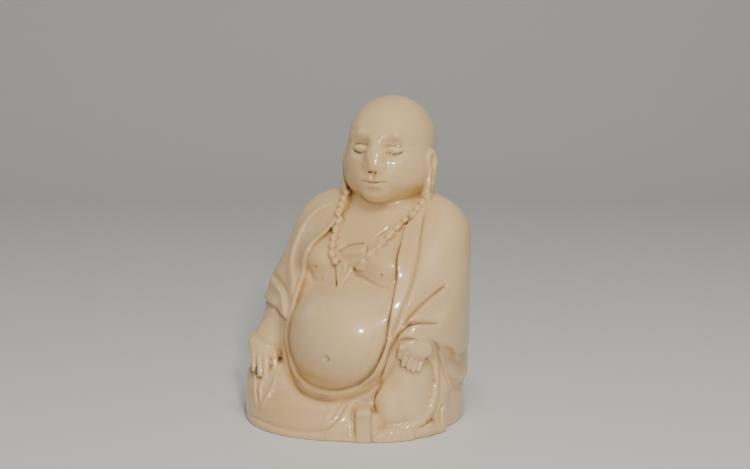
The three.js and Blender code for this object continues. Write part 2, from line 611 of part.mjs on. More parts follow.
function carving() {
  const body = masses();
  const folds = [lapels, leftSleeve, rightSleeve, skirtFolds].flatMap((group) => group(body));
  const draped = relieved(body, [edges, ...folds]);
  const navel = ellipsoid(settle(body, [4, -24.8, 21.6]), [0.9, 0.9, 0.8]);
  const details = [rightHand(), leftHand(body), foot(), kerchief(body), necklace(body)];
  const figure = blend(0.4, keep(0.6, draped, without(navel)), ...details);
  return keep(0.4, blend(0.4, keep(0.8, figure, blank(0.6)), sash()), side([0, 0, 0], [0, 0, -1]));
}

// Meshing

// The form at every grid point; a block of cells far from the surface is judged at its middle.
function sampled(form, low, count, step) {
  const field = new Float32Array(count[0] * count[1] * count[2]);
  const half = (BLOCK * step) / 2;
  const far = 1.5 * Math.hypot(half, half, half) + 1;
  const ends = (i, n) => Math.min(i + BLOCK, n);
  for (let k = 0; k < count[2]; k += BLOCK)
    for (let j = 0; j < count[1]; j += BLOCK)
      for (let i = 0; i < count[0]; i += BLOCK) {
        const middle = form(low[0] + i * step + half, low[1] + j * step + half, low[2] + k * step + half);
        const near = Math.abs(middle) < far;
        for (let c = k; c < ends(k, count[2]); c++)
          for (let b = j; b < ends(j, count[1]); b++)
            for (let a = i; a < ends(i, count[0]); a++) {
              const at = a + count[0] * (b + count[1] * c);
              field[at] = near ? form(low[0] + a * step, low[1] + b * step, low[2] + c * step) : middle;
            }
      }
  return field;
}

// The corners of a cell of the net.
const CELL = [0, 1, 2, 3, 4, 5, 6, 7].map((c) => [c & 1, (c >> 1) & 1, c >> 2]);

// Where two parts of the surface would meet in one edge or corner of the net, the gap between them is filled.
function untangled(field, [nx, ny, nz]) {
  const strides = [1, nx, nx * ny];
  const last = field.length - 1 - strides[0] - strides[1] - strides[2];
  const filled = (p) => field[p] < 0;
  const fill = (...points) => {
    const open = points.filter((p) => !filled(p));
    field[open.reduce((a, b) => (field[a] < field[b] ? a : b))] = -1e-3;
  };
  for (let changes = 1; changes > 0; ) {
    changes = 0;
    for (let p = 0; p < last; p++) {
      for (const [u, v] of [[0, 1], [1, 2], [0, 2]]) {
        const [a, b, c, d] = [p, p + strides[u], p + strides[u] + strides[v], p + strides[v]];
        if (filled(a) !== filled(c) || filled(b) !== filled(d) || filled(a) === filled(b)) continue;
        fill(a, b, c, d);
        changes++;
      }
      const cell = CELL.map(([a, b, c]) => p + a + b * nx + c * nx * ny);
      const count = cell.filter(filled).length;
      if (count !== 2 && count !== 6) continue;
      const odd = [0, 1, 2, 3, 4, 5, 6, 7].filter((c) => filled(cell[c]) === (count === 2));
      if ((odd[0] ^ odd[1]) !== 7) continue;
      fill(...cell);
      changes++;
    }
  }
  return field;
}

// One vertex in each cell that the surface crosses, and one quad across each grid edge that it crosses.
function netOf(form, low, high, step) {
  const count = [0, 1, 2].map((i) => Math.ceil((high[i] - low[i]) / step) + 1);
  const [nx, ny, nz] = count;
  const at = (i, j, k) => i + nx * (j + ny * k);
  const field = untangled(sampled(form, low, count, step), count);
  const offsets = CELL.map(([a, b, c]) => at(a, b, c));
  const edges = [];
  for (let a = 0; a < 8; a++) for (const bit of [1, 2, 4]) if (!(a & bit)) edges.push([a, a | bit]);
  const vertexOf = new Int32Array(field.length).fill(-1);
  const positions = [];
  for (let k = 0; k < nz - 1; k++)
    for (let j = 0; j < ny - 1; j++)
      for (let i = 0; i < nx - 1; i++) {
        const here = at(i, j, k);
        let inside = 0;
        for (let c = 0; c < 8; c++) if (field[here + offsets[c]] < 0) inside++;
        if (inside === 0 || inside === 8) continue;
        const sum = [0, 0, 0];
        let crossings = 0;
        for (const [a, b] of edges) {
          const [from, to] = [field[here + offsets[a]], field[here + offsets[b]]];
          if (from < 0 === to < 0) continue;
          const t = from / (from - to);
          for (let q = 0; q < 3; q++) sum[q] += CELL[a][q] + t * (CELL[b][q] - CELL[a][q]);
          crossings++;
        }
        vertexOf[here] = positions.length / 3;
        [i, j, k].forEach((n, q) => positions.push(low[q] + (n + sum[q] / crossings) * step));
      }
  for (let v = 0; v < positions.length; v += 3) {
    const [x, y, z] = settle(form, positions.slice(v, v + 3), 0, 1, 0.05);
    const moved = Math.hypot(x - positions[v], y - positions[v + 1], z - positions[v + 2]);
    if (moved < step / 2) [positions[v], positions[v + 1], positions[v + 2]] = [x, y, z];
  }
  const faces = [];
  const strides = [1, nx, nx * ny];
  for (let k = 1; k < nz - 1; k++)
    for (let j = 1; j < ny - 1; j++)
      for (let i = 1; i < nx - 1; i++) {
        const here = at(i, j, k);
        for (let axis = 0; axis < 3; axis++) {
          const inside = field[here] < 0;
          if (inside === field[here + strides[axis]] < 0) continue;
          const [u, v] = [strides[(axis + 1) % 3], strides[(axis + 2) % 3]];
          const quad = [here, here - u, here - u - v, here - v].map((c) => vertexOf[c]);
          if (!inside) quad.reverse();
          faces.push(quad[0], quad[1], quad[2], quad[0], quad[2], quad[3]);
        }
      }
  return { positions, faces };
}

// The faces of the largest connected surface, without bubbles sealed inside it.
function outerSkin({ positions, faces }) {
  const owner = Int32Array.from({ length: positions.length / 3 }, (_, v) => v);
  const rootOf = (v) => {
    while (owner[v] !== v) v = owner[v] = owner[owner[v]];
    return v;
  };
  for (let f = 0; f < faces.length; f += 3) {
    owner[rootOf(faces[f + 1])] = rootOf(faces[f]);
    owner[rootOf(faces[f + 2])] = rootOf(faces[f]);
  }
  const sizes = new Map();
  for (const v of owner.keys()) sizes.set(rootOf(v), (sizes.get(rootOf(v)) ?? 0) + 1);
  const [outer] = [...sizes].reduce((a, b) => (a[1] > b[1] ? a : b));
  return { positions, faces: faces.filter((v) => rootOf(v) === outer) };
}

function weightAt([x, y, z]) {
  const ball = FINE.find(({ at, reach }) => Math.hypot(x - at[0], y - at[1], z - at[2]) < reach);
  return ball ? ball.weight : 1;
}

// Edges are collapsed, the least needed first, until the wanted number of triangles is left. The cost of a
// collapse is the squared distance from the kept point to the planes of the triangles that meet there.
function simplified({ positions, faces }, wanted) {
  const points = Float64Array.from(positions);
  const corners = Int32Array.from(faces);
  const around = Array.from({ length: points.length / 3 }, () => new Set());
  const quadrics = new Float64Array((points.length / 3) * 10);
  const stamps = new Int32Array(points.length / 3);
  const normalOf = (a, b, c) => {
    const [ux, uy, uz] = [0, 1, 2].map((i) => points[b + i] - points[a + i]);
    const [vx, vy, vz] = [0, 1, 2].map((i) => points[c + i] - points[a + i]);
    return [uy * vz - uz * vy, uz * vx - ux * vz, ux * vy - uy * vx];
  };
  for (let f = 0; f < corners.length; f += 3) {
    const [a, b, c] = [corners[f], corners[f + 1], corners[f + 2]];
    const normal = normalOf(3 * a, 3 * b, 3 * c);
    const area = Math.hypot(...normal) || 1e-12;
    const plane = normal.map((n) => n / area);
    const weight = area * weightAt(points.subarray(3 * a, 3 * a + 3));
    plane.push(-(plane[0] * points[3 * a] + plane[1] * points[3 * a + 1] + plane[2] * points[3 * a + 2]));
    for (const v of [a, b, c]) {
      around[v].add(f);
      let q = 10 * v;
      for (let i = 0; i < 4; i++) for (let j = i; j < 4; j++) quadrics[q++] += weight * plane[i] * plane[j];
    }
  }
  const neighbours = (v) => {
    const found = new Set();
    for (const f of around[v]) for (let i = 0; i < 3; i++) found.add(corners[f + i]);
    found.delete(v);
    return found;
  };
  const judge = (a, b) => {
    const q = new Float64Array(10);
    for (let i = 0; i < 10; i++) q[i] = quadrics[10 * a + i] + quadrics[10 * b + i];
    const cost = ([x, y, z]) =>
      x * (q[0] * x + 2 * (q[1] * y + q[2] * z + q[3])) + y * (q[4] * y + 2 * (q[5] * z + q[6])) +
      z * (q[7] * z + 2 * q[8]) + q[9];
    const [pa, pb] = [a, b].map((v) => [points[3 * v], points[3 * v + 1], points[3 * v + 2]]);
    const middle = pa.map((c, i) => (c + pb[i]) / 2);
    const length = Math.hypot(pa[0] - pb[0], pa[1] - pb[1], pa[2] - pb[2]);
    const matrix = new THREE.Matrix3().set(q[0], q[1], q[2], q[1], q[4], q[5], q[2], q[5], q[7]);
    const choices = [pa, pb, middle];
    if (Math.abs(matrix.determinant()) > 1e-9 * (q[0] + q[4] + q[7]) ** 3) {
      const best = new THREE.Vector3(-q[3], -q[6], -q[8]).applyMatrix3(matrix.invert()).toArray();
      if (Math.hypot(...best.map((c, i) => c - middle[i])) < length) choices.push(best);
    }
    const costs = choices.map(cost);
    const least = Math.min(...costs);
    const at = choices[costs.indexOf(least)];
    return { a, b, at, cost: least + SLIVER * length ** 4, stamp: stamps[a] + stamps[b] };
  };
  const turnsOver = (v, other, at) => {
    for (const f of around[v]) {
      const trio = [corners[f], corners[f + 1], corners[f + 2]];
      if (trio.includes(other)) continue;
      const before = normalOf(...trio.map((c) => 3 * c));
      const kept = [points[3 * v], points[3 * v + 1], points[3 * v + 2]];
      points.set(at, 3 * v);
      const after = normalOf(...trio.map((c) => 3 * c));
      points.set(kept, 3 * v);
      const dot = before[0] * after[0] + before[1] * after[1] + before[2] * after[2];
      if (dot < 0.3 * Math.hypot(...before) * Math.hypot(...after)) return true;
    }
    return false;
  };
  const heap = new Heap((p, q) => p.cost - q.cost);
  for (let v = 0; v < around.length; v++) for (const w of neighbours(v)) if (v < w) heap.push(judge(v, w));
  let left = corners.length / 3;
  while (left > wanted && heap.size) {
    const { a, b, at, stamp } = heap.pop();
    if (!around[a] || !around[b] || stamp !== stamps[a] + stamps[b]) continue;
    const nearB = neighbours(b);
    if ([...neighbours(a)].filter((v) => nearB.has(v)).length !== 2) continue;
    if (turnsOver(a, b, at) || turnsOver(b, a, at)) continue;
    points.set(at, 3 * a);
    for (let i = 0; i < 10; i++) quadrics[10 * a + i] += quadrics[10 * b + i];
    for (const f of around[b]) {
      const trio = [corners[f], corners[f + 1], corners[f + 2]];
      if (trio.includes(a)) {
        for (const v of trio) if (v !== b) around[v].delete(f);
        left--;
      } else {
        corners[f + trio.indexOf(b)] = a;
        around[a].add(f);
      }
    }
    around[b] = null;
    stamps[a] += 1;
    for (const v of neighbours(a)) heap.push(judge(a, v));
  }
  const kept = new Map();
  const result = { positions: [], faces: [] };
  around.forEach((set, v) => {
    if (!set || !set.size) return;
    kept.set(v, kept.size);
    result.positions.push(points[3 * v], points[3 * v + 1], points[3 * v + 2]);
  });
  const live = new Set();
  for (const set of around) if (set) for (const f of set) live.add(f);
  for (const f of live) for (let i = 0; i < 3; i++) result.faces.push(kept.get(corners[f + i]));
  return result;
}

// A binary heap, least first.
class Heap {
  constructor(compare) {
    this.items = [];
    this.compare = compare;
  }

  get size() {
    return this.items.length;
  }

  push(item) {
    const { items, compare } = this;
    items.push(item);
    let i = items.length - 1;
    while (i > 0) {
      const up = (i - 1) >> 1;
      if (compare(items[up], item) <= 0) break;
      items[i] = items[up];
      i = up;
    }
    items[i] = item;
  }

  pop() {
    const { items, compare } = this;
    const top = items[0];
    const item = items.pop();
    if (!items.length) return top;
    let i = 0;
    for (;;) {
      let down = 2 * i + 1;
      if (down >= items.length) break;
      if (down + 1 < items.length && compare(items[down + 1], items[down]) < 0) down++;
      if (compare(item, items[down]) <= 0) break;
      items[i] = items[down];
      i = down;
    }
    items[i] = item;
    return top;
  }
}

const margin = 2 * GRID;
const low = [-BLANK.halfWidth - margin - 1, -BLANK.halfDepth - margin - 3, -margin];
const high = [BLANK.halfWidth + margin + 1, BLANK.halfDepth + margin + 1, HEIGHT + margin + 3];
const form = carving();
const net = simplified(outerSkin(netOf(form, low, high, GRID)), TRIANGLES);

const flattened = net.positions.map((c, i) => (i % 3 === 2 && c < FLAT ? 0 : c));
const geometry = new THREE.BufferGeometry();
geometry.setAttribute('position', new THREE.Float32BufferAttribute(flattened, 3));
geometry.setIndex(net.faces);
geometry.computeBoundingBox();
const middle = geometry.boundingBox.getCenter(new THREE.Vector3());
geometry.translate(-middle.x, -middle.y, 0);
geometry.computeVertexNormals();

const ivory = new THREE.MeshStandardMaterial({ color: '#dcc7a2', roughness: 0.32, metalness: 0 });
const figure = new THREE.Mesh(geometry, ivory);
figure.name = 'figure';
const group = new THREE.Group();
group.add(figure);
export default group;
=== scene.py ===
"""Carving of a seated, pot-bellied monk in an open robe, cut in one piece from a length of tusk.

The figure is worked out in millimetres as one form: a function that is negative inside the ivory and
about the distance to its surface outside. It is then meshed and moved to the frame's metres.
It faces -Y and +X is its left side.
"""

import math

import bpy
import numpy as np
from mathutils import Euler, Matrix, Vector


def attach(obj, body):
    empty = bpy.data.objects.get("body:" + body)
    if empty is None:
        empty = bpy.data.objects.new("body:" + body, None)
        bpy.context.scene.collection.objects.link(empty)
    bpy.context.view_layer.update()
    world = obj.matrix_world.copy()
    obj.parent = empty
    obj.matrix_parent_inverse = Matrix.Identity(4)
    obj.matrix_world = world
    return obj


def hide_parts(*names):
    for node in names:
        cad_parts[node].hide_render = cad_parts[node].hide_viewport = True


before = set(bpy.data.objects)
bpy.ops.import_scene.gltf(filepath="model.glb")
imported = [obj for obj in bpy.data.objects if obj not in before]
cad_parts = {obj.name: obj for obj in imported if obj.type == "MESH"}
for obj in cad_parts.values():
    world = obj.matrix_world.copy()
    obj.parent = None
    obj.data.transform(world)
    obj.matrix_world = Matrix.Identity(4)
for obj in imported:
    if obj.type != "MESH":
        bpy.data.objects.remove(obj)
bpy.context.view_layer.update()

MM = 0.001
HEIGHT = 88
HALF_WIDTH, HALF_DEPTH = 29.6, 27.2  # the oval of tusk that the figure is cut from
KNEE_PLACE, KNEE_RADIUS = (-7.5, -9), 19.2  # the right knee fills out the oval at the front
MIDLINE = 2.5  # the spine stands a little to the figure's left of the blank's centre
HEAD_PLACE, HEAD_TURN = (3.3, 10, 72.6), (-6, 0, 9)
CLOTH = 0.7  # how far the robe stands off the body at its edges
ROUNDING = 0.6  # how far worn edges may stand out of the oval
BEAD_RADIUS, BEAD_HEIGHT = 1.05, 0.4
CLEARANCE = 3  # a form further from a point than this has no effect there
GRID = 0.32  # spacing of the points at which the form is sampled
TRIANGLES = 190_000  # in the finished mesh
BLOCK = 8  # grid points along a side of the largest block judged as one
CHUNK = 60_000  # points worked out together

# Forms: each takes a (3, n) array of points and gives n distances


def column(values):
    """A point or a set of sizes, shaped to meet (3, n) points."""
    return np.asarray(values, np.float32)[:, None]


def turned(turn):
    """The axes turned about x, then y, then z, in degrees."""
    return np.array(Euler([math.radians(a) for a in turn], "XYZ").to_matrix(), np.float32)


def ellipsoid(centre, radii, turn=(0, 0, 0)):
    """An egg of three radii, whose distance is close to true near its surface."""
    centre, radii = column(centre), column(radii)
    axes = turned(turn).T / radii

    def form(p):
        q = axes @ (p - centre)
        reach = np.sqrt((q * q).sum(0))
        q /= radii
        return reach * (reach - 1) / (np.sqrt((q * q).sum(0)) + 1e-9)

    return form


def limb(a, ra, b, rb):
    """A round bar from a to b, with a radius at each end."""
    a = column(a)
    span = column(b) - a
    squared = float((span**2).sum())

    def form(p):
        off = p - a
        t = np.clip((off * span).sum(0) / squared, 0, 1)
        off -= t * span
        return np.sqrt((off * off).sum(0)) - (ra + t * (rb - ra))

    return form


def soft_min(a, b, k):
    """The smaller of two distances, rounded over where they are less than k apart."""
    h = np.maximum(k - np.abs(a - b), 0)
    return np.minimum(a, b) - h * h * (0.25 / k)


def blend(k, *forms):
    """The forms joined, with the inner corners between them filled over a width of k."""

    def form(p):
        d = forms[0](p)
        for other in forms[1:]:
            d = soft_min(d, other(p), k)
        return d

    return form


def keep(k, *forms):
    """What all the forms share, with its edges rounded over a width of k."""

    def form(p):
        d = -forms[0](p)
        for other in forms[1:]:
            d = soft_min(d, -other(p), k)
        return -d

    return form


def without(form):
    return lambda p: -form(p)


def thicker(form, by):
    return lambda p: form(p) - by


def chain(k, *joints):
    """Tapering limbs through (point, radius) pairs."""
    return blend(k, *[limb(*a, *b) for a, b in zip(joints, joints[1:])])


def mirrored(form):
    """The form and its mirror image across x = 0."""
    return lambda p: form(np.stack([np.abs(p[0]), p[1], p[2]]))


def placed(place, turn, form):
    """The form turned about its own origin, then moved."""
    place, axes = column(place), turned(turn).T
    return lambda p: form(axes @ (p - place))


def within(centre, reach, form):
    """The form near a ball that holds it, and the distance to the ball further away."""
    centre = column(centre)

    def near_form(p):
        off = p - centre
        d = np.sqrt((off * off).sum(0)) - reach
        near = np.flatnonzero(d <= CLEARANCE)
        if len(near):
            d[near] = form(p[:, near])
        return d

    return near_form


def post(centre, half_width, half_depth):
    """An upright oval post."""
    least = min(half_width, half_depth)
    return lambda p: (np.hypot((p[0] - centre[0]) / half_width, (p[1] - centre[1]) / half_depth) - 1) * least


def side(point, normal):
    """Everything on the near side of a plane through a point."""
    normal = np.asarray(normal, np.float32) / np.linalg.norm(normal)
    offset = float(normal @ np.asarray(point, np.float32))
    return lambda p: normal @ p - offset


def remembered(form):
    """The form, worked out once for the points it was last asked about."""
    last = [None, None]

    def again(p):
        if last[0] is not p:
            last[:] = [p, form(p)]
        return last[1]

    return again


# Guides: lines laid on the surface


def slope_of(form, points, e):
    """The form's value and slope at (n, 3) points."""
    axes = np.eye(3, dtype=np.float32)
    steps = e * np.vstack([np.zeros((1, 3), np.float32), *[(axis, -axis) for axis in axes]])
    values = form((points[None] + steps[:, None]).reshape(-1, 3).T.astype(np.float32)).reshape(7, -1)
    return values[0], ((values[1::2] - values[2::2]) / (2 * e)).T


def settle(form, points, height=0.0, steps=5, e=0.4):
    """Points brought to the surface of a form, or to a height above it."""
    points = np.array(points, np.float32).reshape(-1, 3)
    for _ in range(steps):
        value, slope = slope_of(form, points, e)
        squared = np.maximum(0.25, (slope**2).sum(1))
        points = points - (np.clip(value - height, -1, 1) / squared)[:, None] * slope
    return points


def spline(points, closed=False, parts=16):
    """A smooth curve through a few points, as many points."""
    points = np.asarray(points, float)
    if closed:
        ends = np.vstack([points[-1:], points, points[:2]])
    else:
        ends = np.vstack([2 * points[0] - points[1], points, 2 * points[-1] - points[-2]])
    t = (np.arange(parts) / parts)[:, None]
    curve = []
    for a, b, c, d in zip(ends, ends[1:], ends[2:], ends[3:]):
        into, out = (c - a) / 2, (d - b) / 2
        curve.append(b + into * t + (3 * (c - b) - 2 * into - out) * t**2 + (2 * (b - c) + into + out) * t**3)
    return np.vstack(curve + [ends[-2][None]])


def spaced(points, gap):
    """Points about a gap apart along the smooth curve through a few points."""
    curve = spline(points)
    run = np.concatenate([[0], np.cumsum(np.linalg.norm(np.diff(curve, axis=0), axis=1))])
    stops = np.linspace(0, run[-1], math.ceil(run[-1] / gap) + 1)
    return np.stack([np.interp(stops, run, curve[:, i]) for i in range(3)], 1)


def evened(line):
    """The line with each point drawn towards its neighbours."""
    padded = np.vstack([line[:1], line, line[-1:]])
    return (padded[:-2] + 2 * padded[1:-1] + padded[2:]) / 4


def guide(form, points):
    """A smooth line on the surface that passes by a few points."""
    return evened(evened(settle(form, spaced(points, 1))))


def tracker(form, line, margin):
    """Where points stand against a guide: how far off, how far left of it from outside, and how far along."""
    line = np.asarray(line, np.float32)
    normals = evened(evened(slope_of(form, line, 1)[1]))
    start, along = line[:-1], np.diff(line, axis=0)
    left = np.cross(normals[:-1], along)
    left /= np.linalg.norm(left, axis=1, keepdims=True) + 1e-9
    squared = (along**2).sum(1)
    together = 8
    groups = [slice(i, i + together) for i in range(0, len(along), together)]
    boxes = []
    for g in groups:
        ends = np.vstack([start[g], start[g] + along[g]])
        boxes.append((ends.min(0)[:, None] - margin, ends.max(0)[:, None] + margin))

    def track(p):
        distance = np.full(p.shape[1], np.inf, np.float32)
        sideways = np.zeros(p.shape[1], np.float32)
        run = np.zeros(p.shape[1], np.float32)
        for g, (low, high) in zip(groups, boxes):
            near = np.flatnonzero(((p >= low) & (p <= high)).all(0))
            if not len(near):
                continue
            off = p[:, near][None] - start[g][:, :, None]
            t = np.clip(np.einsum("si,sin->sn", along[g], off) / squared[g][:, None], 0, 1)
            off -= t[:, None] * along[g][:, :, None]
            apart = (off * off).sum(1)
            best = apart.argmin(0)
            here = np.arange(len(near))
            closest = np.sqrt(apart[best, here])
            better = closest < distance[near]
            chosen, best, here = near[better], best[better], here[better]
            distance[chosen] = closest[better]
            sideways[chosen] = (off[best, :, here] * left[g][best]).sum(1)
            run[chosen] = (g.start + best + t[best, here]) / len(along)
        return distance, sideways, run

    return track


def smooth(t):
    """0 up to t = 0, 1 from t = 1, with an even rise between."""
    t = np.clip(t, 0, 1)
    return t * t * (3 - 2 * t)


def bell(t):
    """1 at t = 0, falling away to both sides."""
    return np.exp(-t * t)


def taper(along, run):
    """1 along a guide, fading out over a share of its length at each end."""
    return smooth(np.minimum(along, 1 - along) / run + 0.15)


def stroke(form, points, height, width, run=0.15):
    """A groove (height below zero) or a ridge along a guide."""
    reach = 1.8 * width
    track = tracker(form, guide(form, points), 4 * width)

    def cut(p):
        distance, left, along = track(p)
        return height * bell(left / width) * bell(distance / reach) * taper(along, run)

    return cut


def fold(form, points, height, width, run=0.2, edge=0.6):
    """The edge of an upper layer: high on the left of the guide, falling away over the width behind it.

    A shallow groove runs along the foot of the edge.
    """
    depth, groove_place, groove_width = 0.35, 1.6 * edge, 1.1 * edge
    track = tracker(form, guide(form, points), width + 1.5)

    def cut(p):
        distance, left, along = track(p)
        near = np.isfinite(distance)
        behind = np.where(near, distance, width) * np.sign(left)
        step = smooth((left + edge) / (2 * edge)) * (1 - smooth(behind / width))
        groove = depth * bell((left + groove_place) / groove_width) * bell(distance / 2)
        return np.where(near, height * (step - groove) * taper(along, run), 0)

    return cut


def cord(points, radius):
    """A round roll of one thickness through a few points."""
    return chain(0.3, *[(p, radius) for p in spaced(points, 2)])


def relieved(form, cuts):
    """The form raised near its surface by each of the cuts."""

    def form_with_cuts(p):
        d = form(p).copy()
        near = np.flatnonzero(np.abs(d) <= CLEARANCE)
        if len(near):
            q = p[:, near]
            for cut in cuts:
                d[near] -= cut(q)
        return d

    return form_with_cuts


# Head, in its own axes: the origin is at the middle of the skull and the face looks along -y


def head():
    """A bald head with full cheeks, lowered eyelids and a closed mouth."""
    skull = ellipsoid((0, 1.6, 2.6), (11.9, 12.6, 12))
    cheeks = ellipsoid((0, -0.6, -5.6), (12.3, 11.6, 10.4))
    nape = ellipsoid((0, 3, -7.5), (10.4, 7.6, 10))
    muzzle = ellipsoid((0, -8.6, -8.2), (5, 3.2, 3.6))
    chin = ellipsoid((0, -8.4, -11.6), (3.8, 3, 2.8))
    ball = blend(2.5, blend(3.5, skull, cheeks, nape), muzzle, chin)
    brows = mirrored(chain(2, ((1.8, -9.9, 2.6), 0.5), ((4.8, -9.2, 3.6), 0.65), ((8, -7, 2.9), 0.2)))
    sockets = mirrored(ellipsoid((4.8, -12.2, 0.7), (4, 2.6, 2.4), (0, 0, 22)))
    lids = mirrored(ellipsoid((4.8, -8.5, 0), (2.9, 1.95, 1.75), (0, 0, 22)))
    nose = chain(2, ((0, -9.7, 2.8), 1.2), ((0, -11, -1.3), 1.55), ((0, -11.9, -4), 1.75))
    wings = mirrored(ellipsoid((2.05, -11, -4.5), (1.25, 1.5, 1.15)))
    nostrils = mirrored(ellipsoid((1.05, -12.2, -5.85), (0.45, 0.5, 0.25)))
    philtrum = limb((0, -12.9, -6.5), 0.5, (0, -12.9, -7.2), 0.5)
    upper_lip = mirrored(chain(0.8, ((0.8, -11.7, -7.9), 0.95), ((3.2, -10.8, -8.3), 0.45)))
    lower_lip = mirrored(chain(0.8, ((0.5, -11.4, -9.6), 1.1), ((2.6, -10.8, -9), 0.55)))
    under_lip = limb((-1.3, -12.3, -11), 0.5, (1.3, -12.3, -11), 0.5)
    carved = keep(2, blend(2.2, ball, brows), without(sockets))
    nosed = keep(0.4, blend(0.7, blend(2.4, carved, nose), wings), without(nostrils))
    modelled = keep(1, blend(0.6, nosed, lids, upper_lip, lower_lip), without(philtrum), without(under_lip))
    lashes = ((2.9, -10.6, -0.8), (4.8, -10.6, -1.25), (7.4, -9.2, -0.4))
    lid_crease = ((3, -10.5, 1.15), (4.8, -10.4, 1.6), (7.2, -9.1, 1.15))
    mouth = ((0, -12.4, -8.8), (1.8, -12.2, -8.65), (3.6, -11.1, -8.4))
    lines = [settle(modelled, line) for line in (lashes, lid_crease, mouth)]
    cuts = [mirrored(chain(0.1, *[(p, 0.2) for p in line])) for line in lines]
    features = keep(0.3, modelled, *[without(cut) for cut in cuts])
    return within((0, 0, 0), 19, blend(0.5, features, mirrored(ear())))


def ear():
    """A long ear, whose lobe hangs to the jaw."""
    shell = ellipsoid((12, -0.6, -3), (1.5, 2.9, 3.7), (6, 0, -14))
    lobe = chain(1.2, ((12, -0.8, -5), 1.6), ((12, -1.2, -9), 1.4), ((11.6, -1.6, -12), 1.7))
    bowl = ellipsoid((13.6, -1.3, -2.8), (1.2, 1.3, 2.2), (6, 0, -14))
    channel = limb((13.5, -1.4, -5), 0.6, (13.1, -1.8, -10.8), 0.5)
    return keep(0.5, blend(1, shell, lobe), without(bowl), without(channel))


# Body masses


def blank(by=0.0):
    """The tusk that everything stays inside, or a little more of it."""
    oval = post((0, 0), HALF_WIDTH + by, HALF_DEPTH + by)
    return blend(6, oval, post(KNEE_PLACE, KNEE_RADIUS + by, KNEE_RADIUS + by))


belly = ellipsoid((MIDLINE, -4.5, 24.2), (19.5, 21, 17.2))
front_slope = side((0, 0, 57), (0, -0.77, 0.64))  # the chest and the robe lean back from here to the neck


def breasts():
    """The heavy chest above the belly."""
    right = ellipsoid((-7.4, -5, 44.4), (7, 7.6, 5.4))
    left = ellipsoid((11.4, -5, 43.8), (8.6, 7.9, 5.6))
    return blend(2.5, right, left)


# The rolled hem of the robe, from the knee down the outside of the shin and under it to the foot.
SHIN_HEM = (
    (26, -6.4, 20.5), (27.2, -7.6, 14), (27.2, -9.6, 8), (25.6, -12.8, 4.4),
    (22.4, -16, 3.3), (19, -17.8, 3.1), (14.5, -18.6, 3.6),
)  # fmt: skip


def legs():
    """The right leg lies flat across the lap and the left shin stands up."""
    top = side((0, 0, 18.9), (0.12, -0.35, 1))
    rear = side((0, 10, 0), (0.4, 1, 0.5))
    inner = side((0.5, 0, 0), (0.82, 0.57, 0))
    lap = keep(4, keep(12, blank(ROUNDING), top, rear), inner)
    thigh = chain(3, ((-17.5, -11.5, 6.5), 11), ((-17, 8, 6), 8.5))
    calf = limb((19.2, -9.2, 7), 7.7, (19.2, -8.4, 16.6), 7.7)
    front_of_calf = ellipsoid((16.4, -14.6, 7), (4.4, 5, 7))
    shin = keep(1.2, blend(4, calf, front_of_calf), side((0, 0, 3), (0, 0, -1)))
    tuck = ellipsoid((12.5, -19, 3), (5, 5.4, 6))
    side_folds = chain(3, ((24.5, -4, 3), 4), ((24.8, -3, 12), 3.4), ((24.5, -4, 22), 3))
    shin_hem = within((23, -14, 11), 14, cord(SHIN_HEM, 0.95))
    return blend(0.8, blend(4, lap, thigh), blend(0.9, shin, shin_hem), side_folds, tuck)


def robe():
    """The robe as a solid, with its shoulders and sleeves and without its front opening."""
    m = MIDLINE
    skirt = keep(14, post((0.5, 3), 26.6, 24.2), side((0, 0, 42), (0, 0, 1)))
    back = ellipsoid((m, 4.4, 34), (25.8, 21.6, 27))
    nape = ellipsoid((m, 11.5, 53), (13, 9.5, 9))
    left_panel = ellipsoid((11, -3, 31), (12, 15, 22), (0, -6, 0))
    right_shoulder = ellipsoid((m - 12, 6, 47), (11.5, 11, 13.5), (0, -22, 0))
    left_shoulder = ellipsoid((m + 13, 7, 46), (12.5, 12, 15), (0, 14, 0))
    right_arm = chain(3, ((-13, 5, 50), 8), ((-18.5, -2, 32), 7.5), ((-19.5, -7, 26), 6))
    left_arm = chain(3, ((18, 7, 50), 8.5), ((21, 0, 30), 8.2), ((19.5, -8, 26), 6))
    return blend(5, skirt, back, nape, left_panel, right_shoulder, left_shoulder, right_arm, left_arm)


def forearms():
    """From the sleeves to the wrists."""
    right = chain(1, ((-15, -9, 32), 5), ((-20.5, -14, 21.5), 4.6))
    left = chain(1.5, ((26, -5, 28), 5), ((23.5, -11.6, 28.4), 3.6), ((20.8, -13.4, 26.8), 2.6))
    return blend(0.6, right, left)


# The robe's front opening, seen from the front: to the figure's left of the axis, and up.
OPENING = (
    (5, 73), (19, 65), (17.9, 61.2), (16.5, 57.5), (14.9, 54.2), (15.2, 51), (16.9, 46),
    (17.5, 41.5), (17.9, 36.6), (18, 32.9), (17.8, 29.1), (17.5, 25.4), (16.4, 21.5), (14.8, 18.2),
    (12.5, 15.7), (8.9, 13.3), (3.7, 11.9), (-1.5, 12.2), (-6, 13.5), (-9.1, 16), (-10.8, 20.5),
    (-11.2, 25), (-10.8, 28.5), (-10.1, 31.4), (-10, 34.6), (-9.9, 40), (-9.9, 43.2), (-9.3, 46),
    (-8.4, 48.5), (-7.2, 50.8), (-6, 53.2), (-5.2, 55.5), (-5, 58.5), (-6.8, 62), (-9, 66),
)  # fmt: skip


